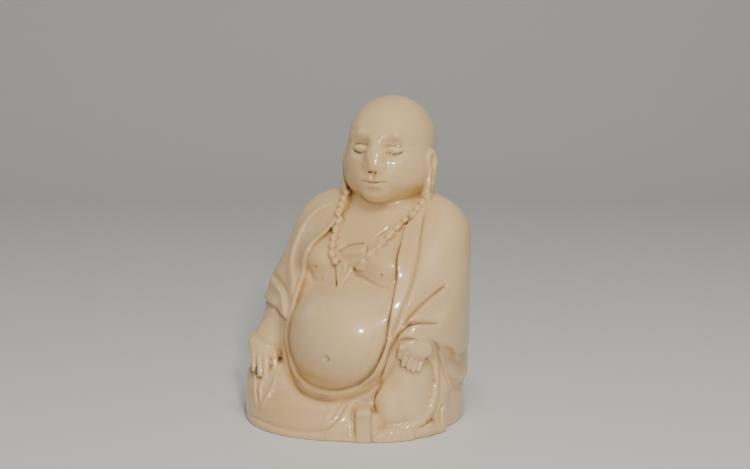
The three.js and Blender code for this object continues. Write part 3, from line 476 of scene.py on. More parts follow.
def front_prism(outline):
    """A prism that runs back from the front, negative inside the closed outline.

    The distance to the outline is worked out once, on a chart, and read from there.
    """
    points = spline(outline, closed=True, parts=6)
    step, low_x, low_z, height = 0.3, -34, -2, 95
    across, up = math.ceil(-2 * low_x / step) + 2, math.ceil(height / step)
    x, z = np.meshgrid(low_x + step * np.arange(across), low_z + step * np.arange(up))
    nearest = np.full(x.shape, 1e9)
    inside = np.zeros(x.shape, bool)
    for a, b in zip(points, points[1:]):
        dx, dz = b - a
        t = np.clip(((x - a[0]) * dx + (z - a[1]) * dz) / (dx * dx + dz * dz), 0, 1)
        nearest = np.minimum(nearest, np.hypot(x - a[0] - t * dx, z - a[1] - t * dz))
        if dz:
            inside ^= ((a[1] > z) != (b[1] > z)) & (x < a[0] + (z - a[1]) * dx / dz)
    chart = np.where(inside, -nearest, nearest).astype(np.float32)

    def form(p):
        across_at = np.clip((p[0] - low_x) / step, 0, across - 2)
        up_at = np.clip((p[2] - low_z) / step, 0, up - 2)
        i, j = across_at.astype(int), up_at.astype(int)
        s, t = across_at - i, up_at - j
        low = chart[j, i] * (1 - s) + chart[j, i + 1] * s
        high = chart[j + 1, i] * (1 - s) + chart[j + 1, i + 1] * s
        return low * (1 - t) + high * t

    return form


opening = remembered(keep(0.5, front_prism(OPENING), side((0, 8, 0), (0, 1, 0))))


def trunk(gown):
    """The body under the robe, above the belly. The chest leans back to the neck."""
    chest = ellipsoid((MIDLINE, 6.2, 40), (18, 14, 22.4), (-32, 0, 0))
    neck = limb((MIDLINE, 10, 50), 10, (MIDLINE, 11.5, 60), 11)
    under_robe = keep(6, thicker(gown, -1), front_slope)
    return blend(2, blend(3, chest, neck, under_robe), breasts())


def masses():
    """The figure without its folds, hands and necklace.

    The robe follows the body a cloth's thickness off it. Inside its opening, the belly and a lining show.
    """
    gown = remembered(robe())
    body = remembered(trunk(gown))
    open_gown = keep(9, gown, thicker(front_slope, 2.2))
    robe_over_body = remembered(blend(1.5, open_gown, thicker(body, CLOTH)))
    lining = keep(6, thicker(robe_over_body, -0.8), side((0, 0, 36), (0, 0, 1)))
    flesh = blend(0.8, blend(1.5, keep(0.5, belly, thicker(opening, 1.2)), lining), body)
    hem = keep(0.9, thicker(belly, 0.6), thicker(opening, 2), without(opening))
    cloth = keep(0.4, robe_over_body, without(opening))
    skull = placed(HEAD_PLACE, HEAD_TURN, head())
    return blend(0.6, skull, flesh, blend(2, blend(0.4, hem, cloth), forearms()), legs())


# Folds of the robe


def edges(p):
    """The rolled edge of the robe round the belly, a fine line inside it, and the groove below it."""
    off = opening(p)
    in_front = smooth((4 - p[1]) / 6) * smooth((60 - p[2]) / 4)
    low_down = smooth((22 - p[2]) / 4)
    rolled = np.maximum(low_down, smooth((4 - p[0]) / 6))  # below the belly and on the figure's right
    roll = 0.35 * rolled * bell((off - 0.9) / 0.6)
    line = 0.3 * (1 - rolled) * bell(off / 0.35)
    groove = 0.55 * low_down * bell((off - 2.8) / 0.6)
    return in_front * (roll - line - groove)


def drapery(form):
    """Every cut and fold of the robe."""
    groups = (lapels, left_sleeve, right_sleeve, lap_folds, skirt_folds)
    return [edges, *[cut for group in groups for cut in group(form)]]


def lapels(form):
    """The outer edges of the two lapels, and the lines under the breasts."""
    left = (
        (18.2, 3.1, 59.3), (19.1, -0.2, 55.8), (20, -3.6, 51), (21, -6.4, 46.3),
        (21.3, -9.5, 41.5), (20.9, -13.2, 35.6), (20, -15.5, 31), (18.2, -17.2, 26.5),
    )  # fmt: skip
    right = (
        (-8.5, 0.8, 57.8), (-12.9, -1.5, 55.3), (-15.6, -3.9, 51), (-16.4, -6.9, 45.3),
        (-15, -10, 41.8), (-12, -14, 38.5), (-10.9, -16.5, 34),
    )  # fmt: skip
    left_breast = ((5.1, -12.1, 41.9), (9.6, -13.1, 40.7), (13.5, -13.4, 39.6), (16.7, -12.6, 39.5))
    right_breast = ((-9.4, -11.9, 41.9), (-8.6, -12.5, 39.7), (-6.8, -13.2, 39.1), (-3.7, -12.8, 40.2))
    return [
        stroke(form, left, -0.9, 0.5),
        stroke(form, right, -0.45, 0.5),
        fold(form, right[::-1], 0.6, 4, edge=0.9),
        stroke(form, left_breast, -0.55, 0.6),
        stroke(form, right_breast, -0.8, 0.7),
    ]


def left_sleeve(form):
    """The creases at the elbow, the cuff, the fold over the knee, and three hems that hang behind it."""
    upper = ((28, -2.5, 40), (25.3, -7.5, 37.1), (22.7, -12.1, 33.4), (20.7, -15.4, 29.3))
    lower = (
        (29.2, -7.1, 29.9), (27.9, -10.2, 31.2), (24.9, -14.2, 31.8), (21.8, -14.8, 29.8),
        (20.3, -15.8, 27.7), (18.2, -16.5, 23.2), (16.8, -16.9, 18.3), (15.2, -16.7, 12), (15.4, -18, 5.5),
    )  # fmt: skip
    cuff = (
        (20.1, -15.9, 26.1), (21.3, -15.7, 27.5), (24, -15.6, 27.9),
        (25.8, -14, 27.1), (27.2, -12.1, 25.4),
    )  # fmt: skip
    knee = (
        (27.5, -11.1, 27.1), (27.6, -8.4, 24.6), (26.9, -5.3, 21),
        (26.5, -3.3, 15), (26.7, -2.5, 9.3), (26.9, -1.6, 2),
    )  # fmt: skip
    tuck = ((27.2, -10.5, 22.5), (27, -8.4, 19.5), (26.8, -7.5, 15), (27.3, -8.3, 10))
    upper_hem = (
        (28.9, -8.1, 26.8), (29.4, -4.4, 23.6), (29.4, -1, 21.5), (29, 3, 19.7),
        (28, 8.2, 19.7), (26.6, 12.7, 22.4), (24, 17, 27),
    )  # fmt: skip
    middle_hem = ((28.3, -1.7, 21.8), (28.1, 1.6, 19.3), (27.8, 5.6, 17.4), (27.6, 10.4, 18.9), (26, 14, 22))
    lower_hem = (
        (27.4, -2.8, 19.7), (27.9, -0.9, 15.5), (28.3, 1.3, 12.8), (28.2, 5, 11),
        (27.5, 9.5, 11.5), (25.5, 15, 15), (22, 19.5, 22),
    )  # fmt: skip
    return [
        stroke(form, upper, -1.3, 0.55),
        fold(form, upper, 0.8, 5, edge=0.8),
        stroke(form, lower, -1.5, 0.55, 0.1),
        fold(form, cuff, 0.9, 3, edge=0.4),
        stroke(form, knee, -0.9, 0.55),
        stroke(form, tuck, -0.35, 0.5),
        fold(form, upper_hem, 1.3, 6, 0.2, 0.9),
        fold(form, middle_hem, 0.6, 2.5, 0.2, 0.45),
        fold(form, lower_hem, 1.4, 6, 0.2, 0.9),
    ]


def right_sleeve(form):
    """The crease in the bend of the elbow, and the cuff."""
    crease = (
        (-11.5, -19, 29.1), (-12.7, -17.7, 31.1), (-13.8, -16.5, 33.5),
        (-16.2, -14.4, 35.6), (-19.5, -12, 36.7), (-24, -7, 37.4),
    )  # fmt: skip
    cuff = (
        (-25, -8, 31), (-20.8, -13.8, 31.3), (-17.5, -15.4, 30.9),
        (-14.8, -16.7, 29.8), (-11.3, -19.3, 28.6),
    )  # fmt: skip
    return [
        stroke(form, crease, -0.5, 0.6),
        fold(form, crease, 0.7, 4, edge=0.6),
        fold(form, cuff, 0.8, 4, 0.1, 0.4),
    ]


def lap_folds(form):
    """The hem along the front of the lap, a pleat above it, and the gap beside the sash."""
    lip = (
        (8.5, -20.6, 9.6), (8.1, -22.9, 7.2), (7, -25.5, 4.5), (4, -27.9, 2.4), (-4.4, -29.3, 1.5),
        (-13.3, -28.3, 1.8), (-19.5, -24, 1.9), (-22.8, -18.5, 3.2), (-23.7, -16, 9),
    )  # fmt: skip
    pleat = ((6.6, -20.9, 10.2), (6.1, -22.1, 8.8), (5.9, -23.3, 7.2), (4.8, -25.5, 4.6))
    gap = ((10, -19.9, 10.2), (10.9, -22.4, 6.7), (12.2, -24.7, 1.2))
    return [
        fold(form, lip, 0.9, 3.5, 0.08, 0.5),
        stroke(form, lip, -0.35, 0.7, 0.08),
        stroke(form, pleat, -0.5, 0.6),
        stroke(form, gap, -0.8, 0.6),
    ]


def skirt_folds(form):
    """Two short tucks by the foot, three sweeps round the back, and two pleats that hang from the collar."""
    tucks = (
        ((26.2, -3.8, 8), (26, -5, 5), (27, -5.2, 1.5), (28.4, -3.4, 0.6)),
        ((26.5, -8.9, 4.6), (24.8, -7.4, 2.6), (25.3, -6.5, 1)),
    )
    sweeps = (
        ((25, 10, 47), (18, 21, 40), (4, 27, 36), (-9, 25.5, 39), (-20, 15, 46)),
        ((28, 6, 36), (20, 20, 27), (5, 28, 22.5), (-10, 26.5, 26), (-23, 14, 35)),
        ((27, 12, 22), (18, 23, 13), (4, 28, 9), (-10, 26.5, 12), (-24, 13, 21)),
    )
    pleats = (((-6, 20, 56), (-10, 24, 48), (-12, 25.5, 42)), ((11, 20, 57), (14, 24, 49), (15, 25, 42)))
    collar = ((-13, 9, 61), (-9, 16, 59.5), (2.5, 19.5, 58.5), (14, 17, 60), (19, 9, 62))
    return [
        stroke(form, tucks[0], -0.7, 0.45),
        stroke(form, tucks[1], -0.5, 0.5),
        *[fold(form, sweep, 1, 7, 0.25, 0.8) for sweep in sweeps],
        *[stroke(form, pleat, -0.5, 1.4, 0.3) for pleat in pleats],
        stroke(form, collar, 0.8, 1.1, 0.3),
    ]


# Hands and foot


def finger(form, lift, *joints):
    """A chain lying on the surface, with its middle raised by a share of its radius."""
    lifts = np.array([lift * r for _, r in joints])
    points = settle(form, [p for p, _ in joints], lifts)
    return chain(0.3, *[(p, r) for p, (_, r) in zip(points, joints)])


def right_hand():
    """Lying on the knee with the fingers together, pointing down over its front; the thumb stands off."""
    reaches = (
        ((-2.9, -0.4, 1.8), (-3, 0.5, -4.7), 1),
        ((-1.4, -0.9, 1.8), (-1.4, 0.1, -6.6), 1.05),
        ((0.3, -1.1, 1.8), (0.2, -0.1, -7.9), 1.2),
        ((2.2, -0.8, 1.8), (2.7, -0.2, -4.6), 1.15),
    )
    fingers = []
    bend = (0, -1.8, 0)
    for knuckle, tip, r in reaches:
        middle = (np.add(knuckle, tip) + bend) / 2
        fingers.append(chain(0.5, (knuckle, r * 1.2), (middle, r), (tip, r * 0.7)))
    thumb = chain(0.5, ((3, -0.8, 5.5), 1.8), ((5.1, -1.4, 1.5), 1.3), ((5.6, -1, -3), 0.95))
    back = ellipsoid((-0.3, -1.1, 2.6), (4.4, 2.4, 4.6))
    hand = blend(1.2, back, blend(0.2, *fingers), blend(0.1, thumb))
    wrist, turn = (-20.3, -17.1, 17.9), (-47, 0, 32)
    return within((-19.5, -17.5, 17), 11, placed(wrist, turn, hand))


def left_hand(form):
    """Lying on the shin, with short fingers that point down and inwards."""
    reaches = (
        ((22.3, -14.8, 23.6), (21.6, -15, 20), 0.9),
        ((23.4, -13.8, 23.2), (22.9, -14.7, 19.2), 0.88),
        ((24.4, -12.8, 22.6), (23.9, -14.1, 18.7), 0.83),
        ((25.4, -11.7, 22), (24.9, -13.2, 18.6), 0.78),
    )
    lift = 0.65
    fingers = [finger(form, lift, (knuckle, r * 1.1), (tip, r * 0.85)) for knuckle, tip, r in reaches]
    thumb = finger(form, lift, ((21.6, -15.8, 25.2), 1), ((20.6, -15.6, 22.5), 0.8))
    back = ellipsoid((24.7, -13.1, 24.7), (4.4, 2.6, 2.9), (0, 20, 38))
    return within((23.5, -14.5, 22.5), 9, blend(0.6, back, blend(0.15, *fingers), thumb))


def foot():
    """The left foot under the hem of the robe, with its toes at the front of the oval."""
    sole = ellipsoid((18.5, -16.5, 0.8), (6.8, 5.8, 3.2), (0, 0, 40))
    toes = []
    middle_angle, step = math.radians(48), 0.064
    for i in range(-2, 3):
        angle = middle_angle + step * i
        at = (math.sin(angle) * (HALF_WIDTH - 1), -math.cos(angle) * (HALF_DEPTH - 1.3), 1.4 - 0.1 * i)
        toes.append(ellipsoid(at, (1 - 0.05 * i, 2.8, 2 - 0.1 * i), (0, 0, math.degrees(angle))))
    hem = chain(1, ((22.6, -15.4, 1.5), 2.2), ((25.3, -10, 1.9), 2.3), ((27, -5, 1), 1.8))
    return within((22, -13, 1), 14, blend(0.2, sole, *toes, hem))


def sash():
    """The end of the sash, hanging over the front of the foot, with its edge turned over at the top."""
    half_width, thickness = 2.1, 4
    left, right = side((half_width, 0, 0), (1, 0, 0)), side((-half_width, 0, 0), (-1, 0, 0))
    across = keep(0.8, left, right, side((0, thickness, 0), (0, 1, 0)))
    end = keep(0.8, across, side((0, 0, 8), (0, 0, 1)))
    turned_over = keep(0.8, across, side((0, 0, 8.9), (-0.1, 0, 1)), side((0, 0, 6.9), (0, 0, -1)))
    place, turn = (14.5, -23.75, 0), (0, 0, 27)
    hanging = keep(0.8, placed(place, turn, end), blank(0.55))
    hem = keep(0.8, placed(place, turn, turned_over), blank(0.8))
    return within((14.5, -23.75, 4), 9, blend(0.3, hanging, hem))


def kerchief(form):
    """The end of a cloth held in the right hand: three pleats that run together to a point."""
    front = (
        ((-14, -21.3, 13.2), 0.75), ((-13.6, -23.4, 11), 0.7),
        ((-14.4, -25, 8.6), 0.6), ((-15.7, -26.2, 5.5), 0.3),
    )  # fmt: skip
    middle = (((-17.6, -21.8, 12.8), 0.6), ((-17.4, -23.9, 9.6), 0.75), ((-16.2, -25.6, 6.7), 0.3))
    rear = (((-20.9, -21, 12.4), 0.4), ((-19.6, -23.2, 9.7), 0.6), ((-18, -25.2, 6), 0.4))
    pleats = [finger(form, 0.1, *joints) for joints in (front, middle, rear)]
    return within((-16.5, -23.5, 9.5), 8, blend(0.2, *pleats))


# Necklace


def strand(form, centres):
    """Beads on the surface, one round each centre and half a bead at each end, with waists between them."""
    count = len(centres) - 1
    waist, fullness = 0.9, 2.6
    line = evened(settle(form, spline(settle(form, centres), parts=6), BEAD_HEIGHT))
    track = tracker(form, line, CLEARANCE)

    def beads(p):
        distance, _, along = track(p)
        near = np.isfinite(distance)
        d = np.full(len(distance), CLEARANCE, np.float32)
        run = along[near] * count
        lengthways = ((run + 0.5) % 1 - 0.5) * 2
        d[near] = distance[near] - BEAD_RADIUS * np.sqrt(1 - waist * np.abs(lengthways) ** fullness)
        return d

    return beads


BEADS = {
    "right": (
        (-6.6, 2.5, 60.8), (-6.3, 1.2, 59.2), (-6, -0.4, 57.4), (-5.9, -1.6, 55.5), (-5.7, -2.8, 53.5),
        (-5.2, -4.5, 51.4), (-4.5, -6.9, 49.5), (-3.7, -9.1, 48), (-3, -10.5, 46.1), (-1.6, -10.7, 44.1),
    ),
    "left": (
        (17.4, 5, 61.9), (17, 2.9, 60.5), (16.3, 1, 58.9), (15.3, -0.2, 57.3), (13.9, -0.8, 55.5),
        (12.7, -2.4, 53.7), (11.5, -4.4, 51.7), (10.7, -7.4, 49.5), (9.6, -10.8, 47.2), (7.2, -11.9, 44.8),
    ),
}  # fmt: skip


def necklace(form):
    """Two strands of beads that meet in two flat knots, with a leaf above them and a tassel below."""
    strands = [strand(form, centres) for centres in BEADS.values()]
    knots = [ellipsoid(p, (1.6, 1.2, 1.3)) for p in settle(form, ((1.3, -10.9, 43.6), (6.6, -11.9, 44)), 0.1)]
    leaf = finger(form, -0.5, ((0.2, -9, 46.6), 1.3), ((4.6, -8.4, 47.2), 1.3))
    tassel = []
    tip = ((2.3, -15.7, 38.8), 0.35)
    for top_x, middle_x in ((0.1, 0.9), (1.9, 2.1), (3.7, 3.1)):
        tassel.append(finger(form, 0.2, ((top_x, -11.5, 42.7), 1.05), ((middle_x, -13.2, 40.9), 0.85), tip))
    return within((5, -3, 52), 19, blend(0.2, *strands, *knots, leaf, blend(0.2, *tassel)))


def pendant_lines(form):
    """The outline of the leaf, the cut beside the tassel, and two nicks beside the left strand."""
    corner = (5.4, -6.6, 49.2)
    upper_edge = ((-1.8, -9.6, 46.1), (-1.4, -8.3, 47.4), (0.4, -7.1, 48.5), (2.9, -6.7, 49.1), corner)
    lower_edge = (corner, (6.1, -7.6, 48.5), (6.8, -9.7, 47.3), (7, -11, 46.1), (5.4, -11, 44.7))
    beside_tassel = ((-0.9, -11, 43), (-0.4, -12.2, 41.4), (0.7, -13.8, 39.8), (2.1, -15.6, 38.6))
    return [
        stroke(form, upper_edge, -1.2, 0.36),
        stroke(form, lower_edge, -1.2, 0.36),
        stroke(form, beside_tassel, -0.7, 0.35),
        stroke(form, ((7.4, -4.9, 51.1), (10.6, -1.9, 53.9)), -0.6, 0.3),
        stroke(form, ((6.7, -5.8, 50.1), (9.6, -3.2, 52.7)), -0.5, 0.3),
    ]


def carving():
    """The whole figure, held inside the tusk's oval but for the sash, and cut flat underneath."""
    body = masses()
    draped = relieved(body, [*drapery(body), *pendant_lines(body)])
    *nipple_places, navel_place = settle(body, ((-7.2, -12.3, 42.6), (13.4, -12.8, 42.4), (4, -24.8, 21.6)))
    nipples = [without(ellipsoid(p, (0.4, 0.4, 0.4))) for p in nipple_places]
    navel = ellipsoid(navel_place, (0.9, 0.9, 0.8))
    details = (right_hand(), left_hand(body), foot(), kerchief(body), necklace(body))
    whole = blend(0.4, keep(0.6, draped, without(navel)), *details)
    inside_tusk = keep(0.8, keep(0.3, whole, *nipples), blank(ROUNDING))
    underside = side((0, 0, 0), (0, 0, -1))
    return keep(0.4, blend(0.4, inside_tusk, sash()), underside)


# Meshing


def measured(form, points):
    """The form at (n, 3) points, a chunk at a time."""
    points = np.ascontiguousarray(points.T, np.float32)
    chunks = [form(np.ascontiguousarray(points[:, i : i + CHUNK])) for i in range(0, points.shape[1], CHUNK)]
    return np.concatenate(chunks) if chunks else np.zeros(0, np.float32)


def sampled(form, low, count):
    """The form on a grid. A block of grid points far from the surface is judged at its middle."""
    size = BLOCK
    steepest, spare = 1.4, 0.5
    corners = np.stack(np.meshgrid([0, 1], [0, 1], [0, 1], indexing="ij"), -1).reshape(-1, 3)
    blocks = np.stack(np.meshgrid(*[np.arange(n // size) for n in count], indexing="ij"), -1).reshape(-1, 3)
    field = np.zeros(count, np.float32)
    while True:
        middle = low + (blocks * size + (size - 1) / 2) * GRID
        values = measured(form, middle)
        view = field.reshape(count[0] // size, size, count[1] // size, size, count[2] // size, size)
        view[blocks[:, 0], :, blocks[:, 1], :, blocks[:, 2], :] = values[:, None, None, None]
        if size == 1:
            return field
        half_diagonal = size * GRID * math.sqrt(3) / 2
        near = blocks[np.abs(values) < steepest * half_diagonal + spare]
        blocks = (near[:, None] * 2 + corners).reshape(-1, 3)
        size //= 2


CORNERS = np.array([(c & 1, (c >> 1) & 1, c >> 2) for c in range(8)])
EDGES = [(a, a | bit) for a in range(8) for bit in (1, 2, 4) if not a & bit]


def corner_codes(field):
    """For each cell, a bit for each corner that lies inside the form."""
    inside = (field < 0).astype(np.uint8)
    code = np.zeros([n - 1 for n in field.shape], np.uint8)
    for c, (i, j, k) in enumerate(CORNERS):
        code |= inside[i : i + code.shape[0], j : j + code.shape[1], k : k + code.shape[2]] << c
    return code


def tangled_codes():
    """The sign patterns in which two parts of the surface meet in one edge or corner of a cell."""
    found = []
    squares = []
    for u, v in ((1, 2), (2, 4), (1, 4)):
        squares += [(a, a | u, a | u | v, a | v) for a in range(8) if not a & (u | v)]
    for code in range(256):
        signs = [(code >> c) & 1 for c in range(8)]
        crossed = any(signs[a] == signs[c] != signs[b] == signs[d] for a, b, c, d in squares)
        opposite = {code, 255 - code} & {1 | 128, 2 | 64, 4 | 32, 8 | 16}
        if crossed or opposite:
            found.append(code)
    return np.array(found, np.uint8)


def untangled(field):
    """The field with its smallest gap filled wherever two parts of the surface would share an edge."""
    tangled = tangled_codes()
    just_inside = -0.001
    while True:
        cells = np.argwhere(np.isin(corner_codes(field), tangled))
        if not len(cells):
            return field
        for cell in cells:
            corners = [tuple(cell + c) for c in CORNERS]
            open_corners = [c for c in corners if field[c] >= 0]
            if open_corners:
                field[min(open_corners, key=lambda c: field[c])] = just_inside


def surface_net(form, low, count):
    """One vertex in each cell that the surface crosses, and a quad across each grid edge that it crosses."""
    field = untangled(sampled(form, low, count))
    code = corner_codes(field)
    cells = np.argwhere((code > 0) & (code < 255))
    total = np.zeros((len(cells), 3), np.float32)
    crossings = np.zeros(len(cells), np.float32)
    values = np.stack([field[tuple((cells + c).T)] for c in CORNERS])
    for a, b in EDGES:
        crossed = (values[a] < 0) != (values[b] < 0)
        t = values[a][crossed] / (values[a][crossed] - values[b][crossed])
        total[crossed] += CORNERS[a] + t[:, None] * (CORNERS[b] - CORNERS[a])
        crossings[crossed] += 1
    points = low + (cells + total / crossings[:, None]) * GRID
    owner = np.full(code.shape, -1, np.int32)
    owner[tuple(cells.T)] = np.arange(len(cells))
    quads = []
    inside = field < 0
    for axis in range(3):
        u, v = np.eye(3, dtype=int)[[(axis + 1) % 3, (axis + 2) % 3]]
        ahead = np.moveaxis(inside, axis, 0)
        change = np.moveaxis(ahead[:-1] != ahead[1:], 0, axis)
        at = np.argwhere(change)
        at = at[(at > 0).all(1) & (at < np.array(code.shape)).all(1)]
        quad = np.stack([owner[tuple((at - shift).T)] for shift in (0 * u, u, u + v, v)], 1)
        outward = inside[tuple(at.T)]
        quad[~outward] = quad[~outward][:, ::-1]
        quads.append(quad)
    return points.astype(np.float32), np.vstack(quads)


def sharpened(form, points):
    """Each vertex moved along the slope onto the surface, by less than half a cell."""
    step = 0.05
    shifts = step * np.array([[1, 1, 1], [1, -1, -1], [-1, 1, -1], [-1, -1, 1]], np.float32)
    values = np.stack([measured(form, points + shift) for shift in shifts])
    slope = np.einsum("kn,ki->ni", values, shifts) / (4 * step**2)
    move = -values.mean(0)[:, None] * slope / np.maximum(0.25, (slope**2).sum(1))[:, None]
    move[np.linalg.norm(move, axis=1) > GRID / 2] = 0
    return points + move


def outer_skin(points, quads):
    """The largest connected surface, without bubbles sealed inside it."""
    label = np.arange(len(points))
    while True:
        least = label[quads].min(1)
        new = label.copy()
        for corner in range(4):
            np.minimum.at(new, quads[:, corner], least)
        new = new[new]
        if (new == label).all():
            break
        label = new
    outer = np.bincount(label).argmax()
    kept = np.flatnonzero(label == outer)
    place = np.full(len(points), -1)
    place[kept] = np.arange(len(kept))
    return points[kept], place[quads[label[quads[:, 0]] == outer]]


def linked(name, data):
    """An object added to the scene."""
    made = bpy.data.objects.new(name, data)
    bpy.context.scene.collection.objects.link(made)
    return made


def piece_of(name, points, quads):
    """A smooth-shaded mesh object from points in millimetres."""
    mesh = bpy.data.meshes.new(name)
    mesh.from_pydata((points * MM).tolist(), [], quads.tolist())
    mesh.polygons.foreach_set("use_smooth", np.ones(len(mesh.polygons), bool))
    mesh.update()
    return linked(name, mesh)


def thin(piece, triangles):
    """Collapses the triangles that the piece's shape needs least."""
    now = sum(len(p.vertices) - 2 for p in piece.data.polygons)
    if now > triangles:
        decimate = piece.modifiers.new("thin", "DECIMATE")
        decimate.ratio = triangles / now
        decimated = piece.evaluated_get(bpy.context.evaluated_depsgraph_get())
        fewer = bpy.data.meshes.new_from_object(decimated)
        piece.modifiers.remove(decimate)
        piece.data = fewer
    piece.data.polygons.foreach_set("use_smooth", np.ones(len(piece.data.polygons), bool))


def crease_depth(form, points, normals):
    """0 on open surface and 1 in a narrow cut, from how near the surface comes again outside each point."""
    depth = np.zeros(len(points), np.float32)
    for reach, share in ((0.35, 0.5), (0.9, 0.35), (2.4, 0.15)):
        clear = measured(form, points + reach * normals)
        depth += share * np.clip(1 - clear / reach, 0, 1)
    return depth


def cut_depth(form, points, normals, reach=0.5, gain=0.6):
    """0 on even or rounded surface and 1 in a fine cut, from the surface's rise to both sides of a point."""
    askew = np.roll(normals, 1, axis=1) + (0.3, -0.2, 0.1)  # any direction that isn't along the normal
    first = np.cross(normals, askew)
    first /= np.linalg.norm(first, axis=1, keepdims=True) + 1e-9
    second = np.cross(normals, first)
    rise = np.zeros(len(points), np.float32)
    for angle in np.radians((0, 45, 90, 135)):
        way = reach * (math.cos(angle) * first + math.sin(angle) * second)
        rise = np.maximum(rise, -(measured(form, points + way) + measured(form, points - way)) / 2)
    return np.clip(gain * rise / reach, 0, 1)


def shelter(form, points, normals, reach=6):
    """How deep each point lies in a broad recess: 0 on open surface and 1 deep inside. The material paints
    shade in recesses from it.
    """
    return np.clip(1 - measured(form, points + reach * normals) / reach, 0, 1)


def figure():
    """The carving, centred on its underside, with the depth of its cuts and hollows as attributes."""
    form = carving()
    margin = 2 * GRID
    low = np.array([-HALF_WIDTH - 2 - margin, -HALF_DEPTH - 3 - margin, -margin], np.float32)
    high = np.array([HALF_WIDTH + 2 + margin, HALF_DEPTH + 2 + margin, HEIGHT + margin])
    count = [BLOCK * math.ceil(n / BLOCK) for n in (high - low) / GRID]
    points, quads = outer_skin(*surface_net(form, low, count))
    points = sharpened(form, points)
    points[:, 2] = np.maximum(points[:, 2], 0)
    piece = piece_of("monk_carving", points, quads)
    thin(piece, TRIANGLES)
    mesh = piece.data
    size = 3 * len(mesh.vertices)
    at, normals = np.zeros(size, np.float32), np.zeros(size, np.float32)
    mesh.vertices.foreach_get("co", at)
    mesh.vertices.foreach_get("normal", normals)
    at, normals = at.reshape(-1, 3) / MM, normals.reshape(-1, 3)
    measures = {
        "crease": np.maximum(crease_depth(form, at, normals), cut_depth(form, at, normals)),
        # recess depth, from which the material paints shade into broad recesses
        "hollow_shade": shelter(form, at, normals),
    }
    for name, values in measures.items():
        mesh.attributes.new(name, "FLOAT", "POINT").data.foreach_set("value", values)
    middle = (at.min(0) + at.max(0)) / 2
    mesh.transform(Matrix.Translation((-middle[0] * MM, -middle[1] * MM, -at[:, 2].min() * MM)))
    mesh.update()
    return piece


# Materials


def linear(hex_colour):
    """A colour as a picture shows it, made linear for the shader."""
    channels = [int(hex_colour[i : i + 2], 16) / 255 for i in (1, 3, 5)]
    return [c / 12.92 if c <= 0.04045 else ((c + 0.055) / 1.055) ** 2.4 for c in channels] + [1]


def add(tree, kind, feeds=(), **settings):
    """Adds a node with its settings, and feeds its inputs with values or with other nodes' outputs."""
    made = tree.nodes.new(kind)
    for name, value in settings.items():
        setattr(made, name, value)
    for socket, value in dict(feeds).items():
        if isinstance(value, bpy.types.NodeSocket):
            tree.links.new(value, made.inputs[socket])
        else:
            made.inputs[socket].default_value = value
    return made


# The blotches also make the stain in the cuts and the painted shade in recesses uneven.
CLOUD_SIZE, BLOTCH_SIZE = 16.7, 4.55  # patches of cream and of stain, millimetres across
GRAIN_SIZE, GRAIN_LENGTH = 1.43, 16.7  # growth lines 1.43 mm apart, drawn out this many times along the tusk


def polished_ivory():
    """Old elephant ivory, carved with knives and rubbed to a polish, then handled for years.

    The dense, slightly see-through dentine shows warm cream with a faint grain along the tusk. The high
    places mirror a lamp as a small sharp spot. Broad hollows are painted darker and yellower as shade,
    and the cuts hold brown grease and dust that no cloth reaches. Each layer of colour below covers the last
    by a share of one measure.
    """
    material = bpy.data.materials.new("polished_ivory")
    material.use_nodes = True
    tree = material.node_tree
    shader = tree.nodes["Principled BSDF"]
    crease = add(tree, "ShaderNodeAttribute", attribute_name="crease").outputs["Fac"]
    # depth in broad recesses, read to paint shade there
    hollow_shade = add(tree, "ShaderNodeAttribute", attribute_name="hollow_shade").outputs["Fac"]
    place = add(tree, "ShaderNodeTexCoord").outputs["Object"]
    stretch = {"Vector": place, "Scale": (1, 1, 1 / GRAIN_LENGTH)}
    along = add(tree, "ShaderNodeMapping", stretch).outputs["Vector"]
    patterns = []
    for where, size, detail in ((place, CLOUD_SIZE, 3), (along, GRAIN_SIZE, 4), (place, BLOTCH_SIZE, 4)):
        feeds = {"Vector": where, "Scale": 1 / (size * MM), "Detail": detail}
        patterns.append(add(tree, "ShaderNodeTexNoise", feeds).outputs["Fac"])
    clouds, grain, blotches = patterns
    faint = add(tree, "ShaderNodeMath", {0: grain, 1: 0.35}, operation="MULTIPLY").outputs[0]
    uneven = add(tree, "ShaderNodeMath", {0: blotches, 1: 0.5, 2: 0.75}, operation="MULTIPLY_ADD").outputs[0]
    depth = add(tree, "ShaderNodeMath", {0: crease, 1: uneven}, operation="MULTIPLY").outputs[0]
    # painted shade: the recess depth, made uneven by the blotches
    painted_shade = add(tree, "ShaderNodeMath", {0: hollow_shade, 1: uneven}, operation="MULTIPLY").outputs[0]
    base = {"Factor": clouds, 6: linear("#DDBA7E"), 7: linear("#E2C49E")}
    colour = add(tree, "ShaderNodeMix", base, data_type="RGBA")
    layers = (
        (faint, 0, 1, 1, "#CDA76F"),
        # painted shade: broad recesses drawn darker and yellower
        (painted_shade, 0.25, 0.95, 0.65, "#C6A05A"),
        (depth, 0.1, 0.45, 0.55, "#B28A48"),
        (depth, 0.32, 0.7, 0.85, "#64451E"),
    )
    for share, start, full, most, hex_colour in layers:
        amount = {"Value": share, "From Min": start, "From Max": full, "To Max": most}
        covered = add(tree, "ShaderNodeMapRange", amount).outputs["Result"]
        feeds = {"Factor": covered, 6: colour.outputs[2], 7: linear(hex_colour)}
        colour = add(tree, "ShaderNodeMix", feeds, data_type="RGBA")
    tree.links.new(colour.outputs[2], shader.inputs["Base Color"])
    constants = {
        "Roughness": 0.42,
        "IOR": 1.54,
        "Coat Weight": 0.7,
        "Coat Roughness": 0.1,
        "Subsurface Weight": 0.2,
        "Subsurface Radius": (1.0, 0.6, 0.35),
        "Subsurface Scale": 1.2 * MM,
    }
    for name, value in constants.items():
        shader.inputs[name].default_value = value
    return material


# Camera, floor and lamps

CAMERA_AZIMUTH, CAMERA_ELEVATION, CAMERA_DISTANCE = 30, 11, 450
CAMERA_AIM = (3.17, 2.78, 50)
FOCAL_PIXELS, IMAGE_WIDTH = 1656, 750


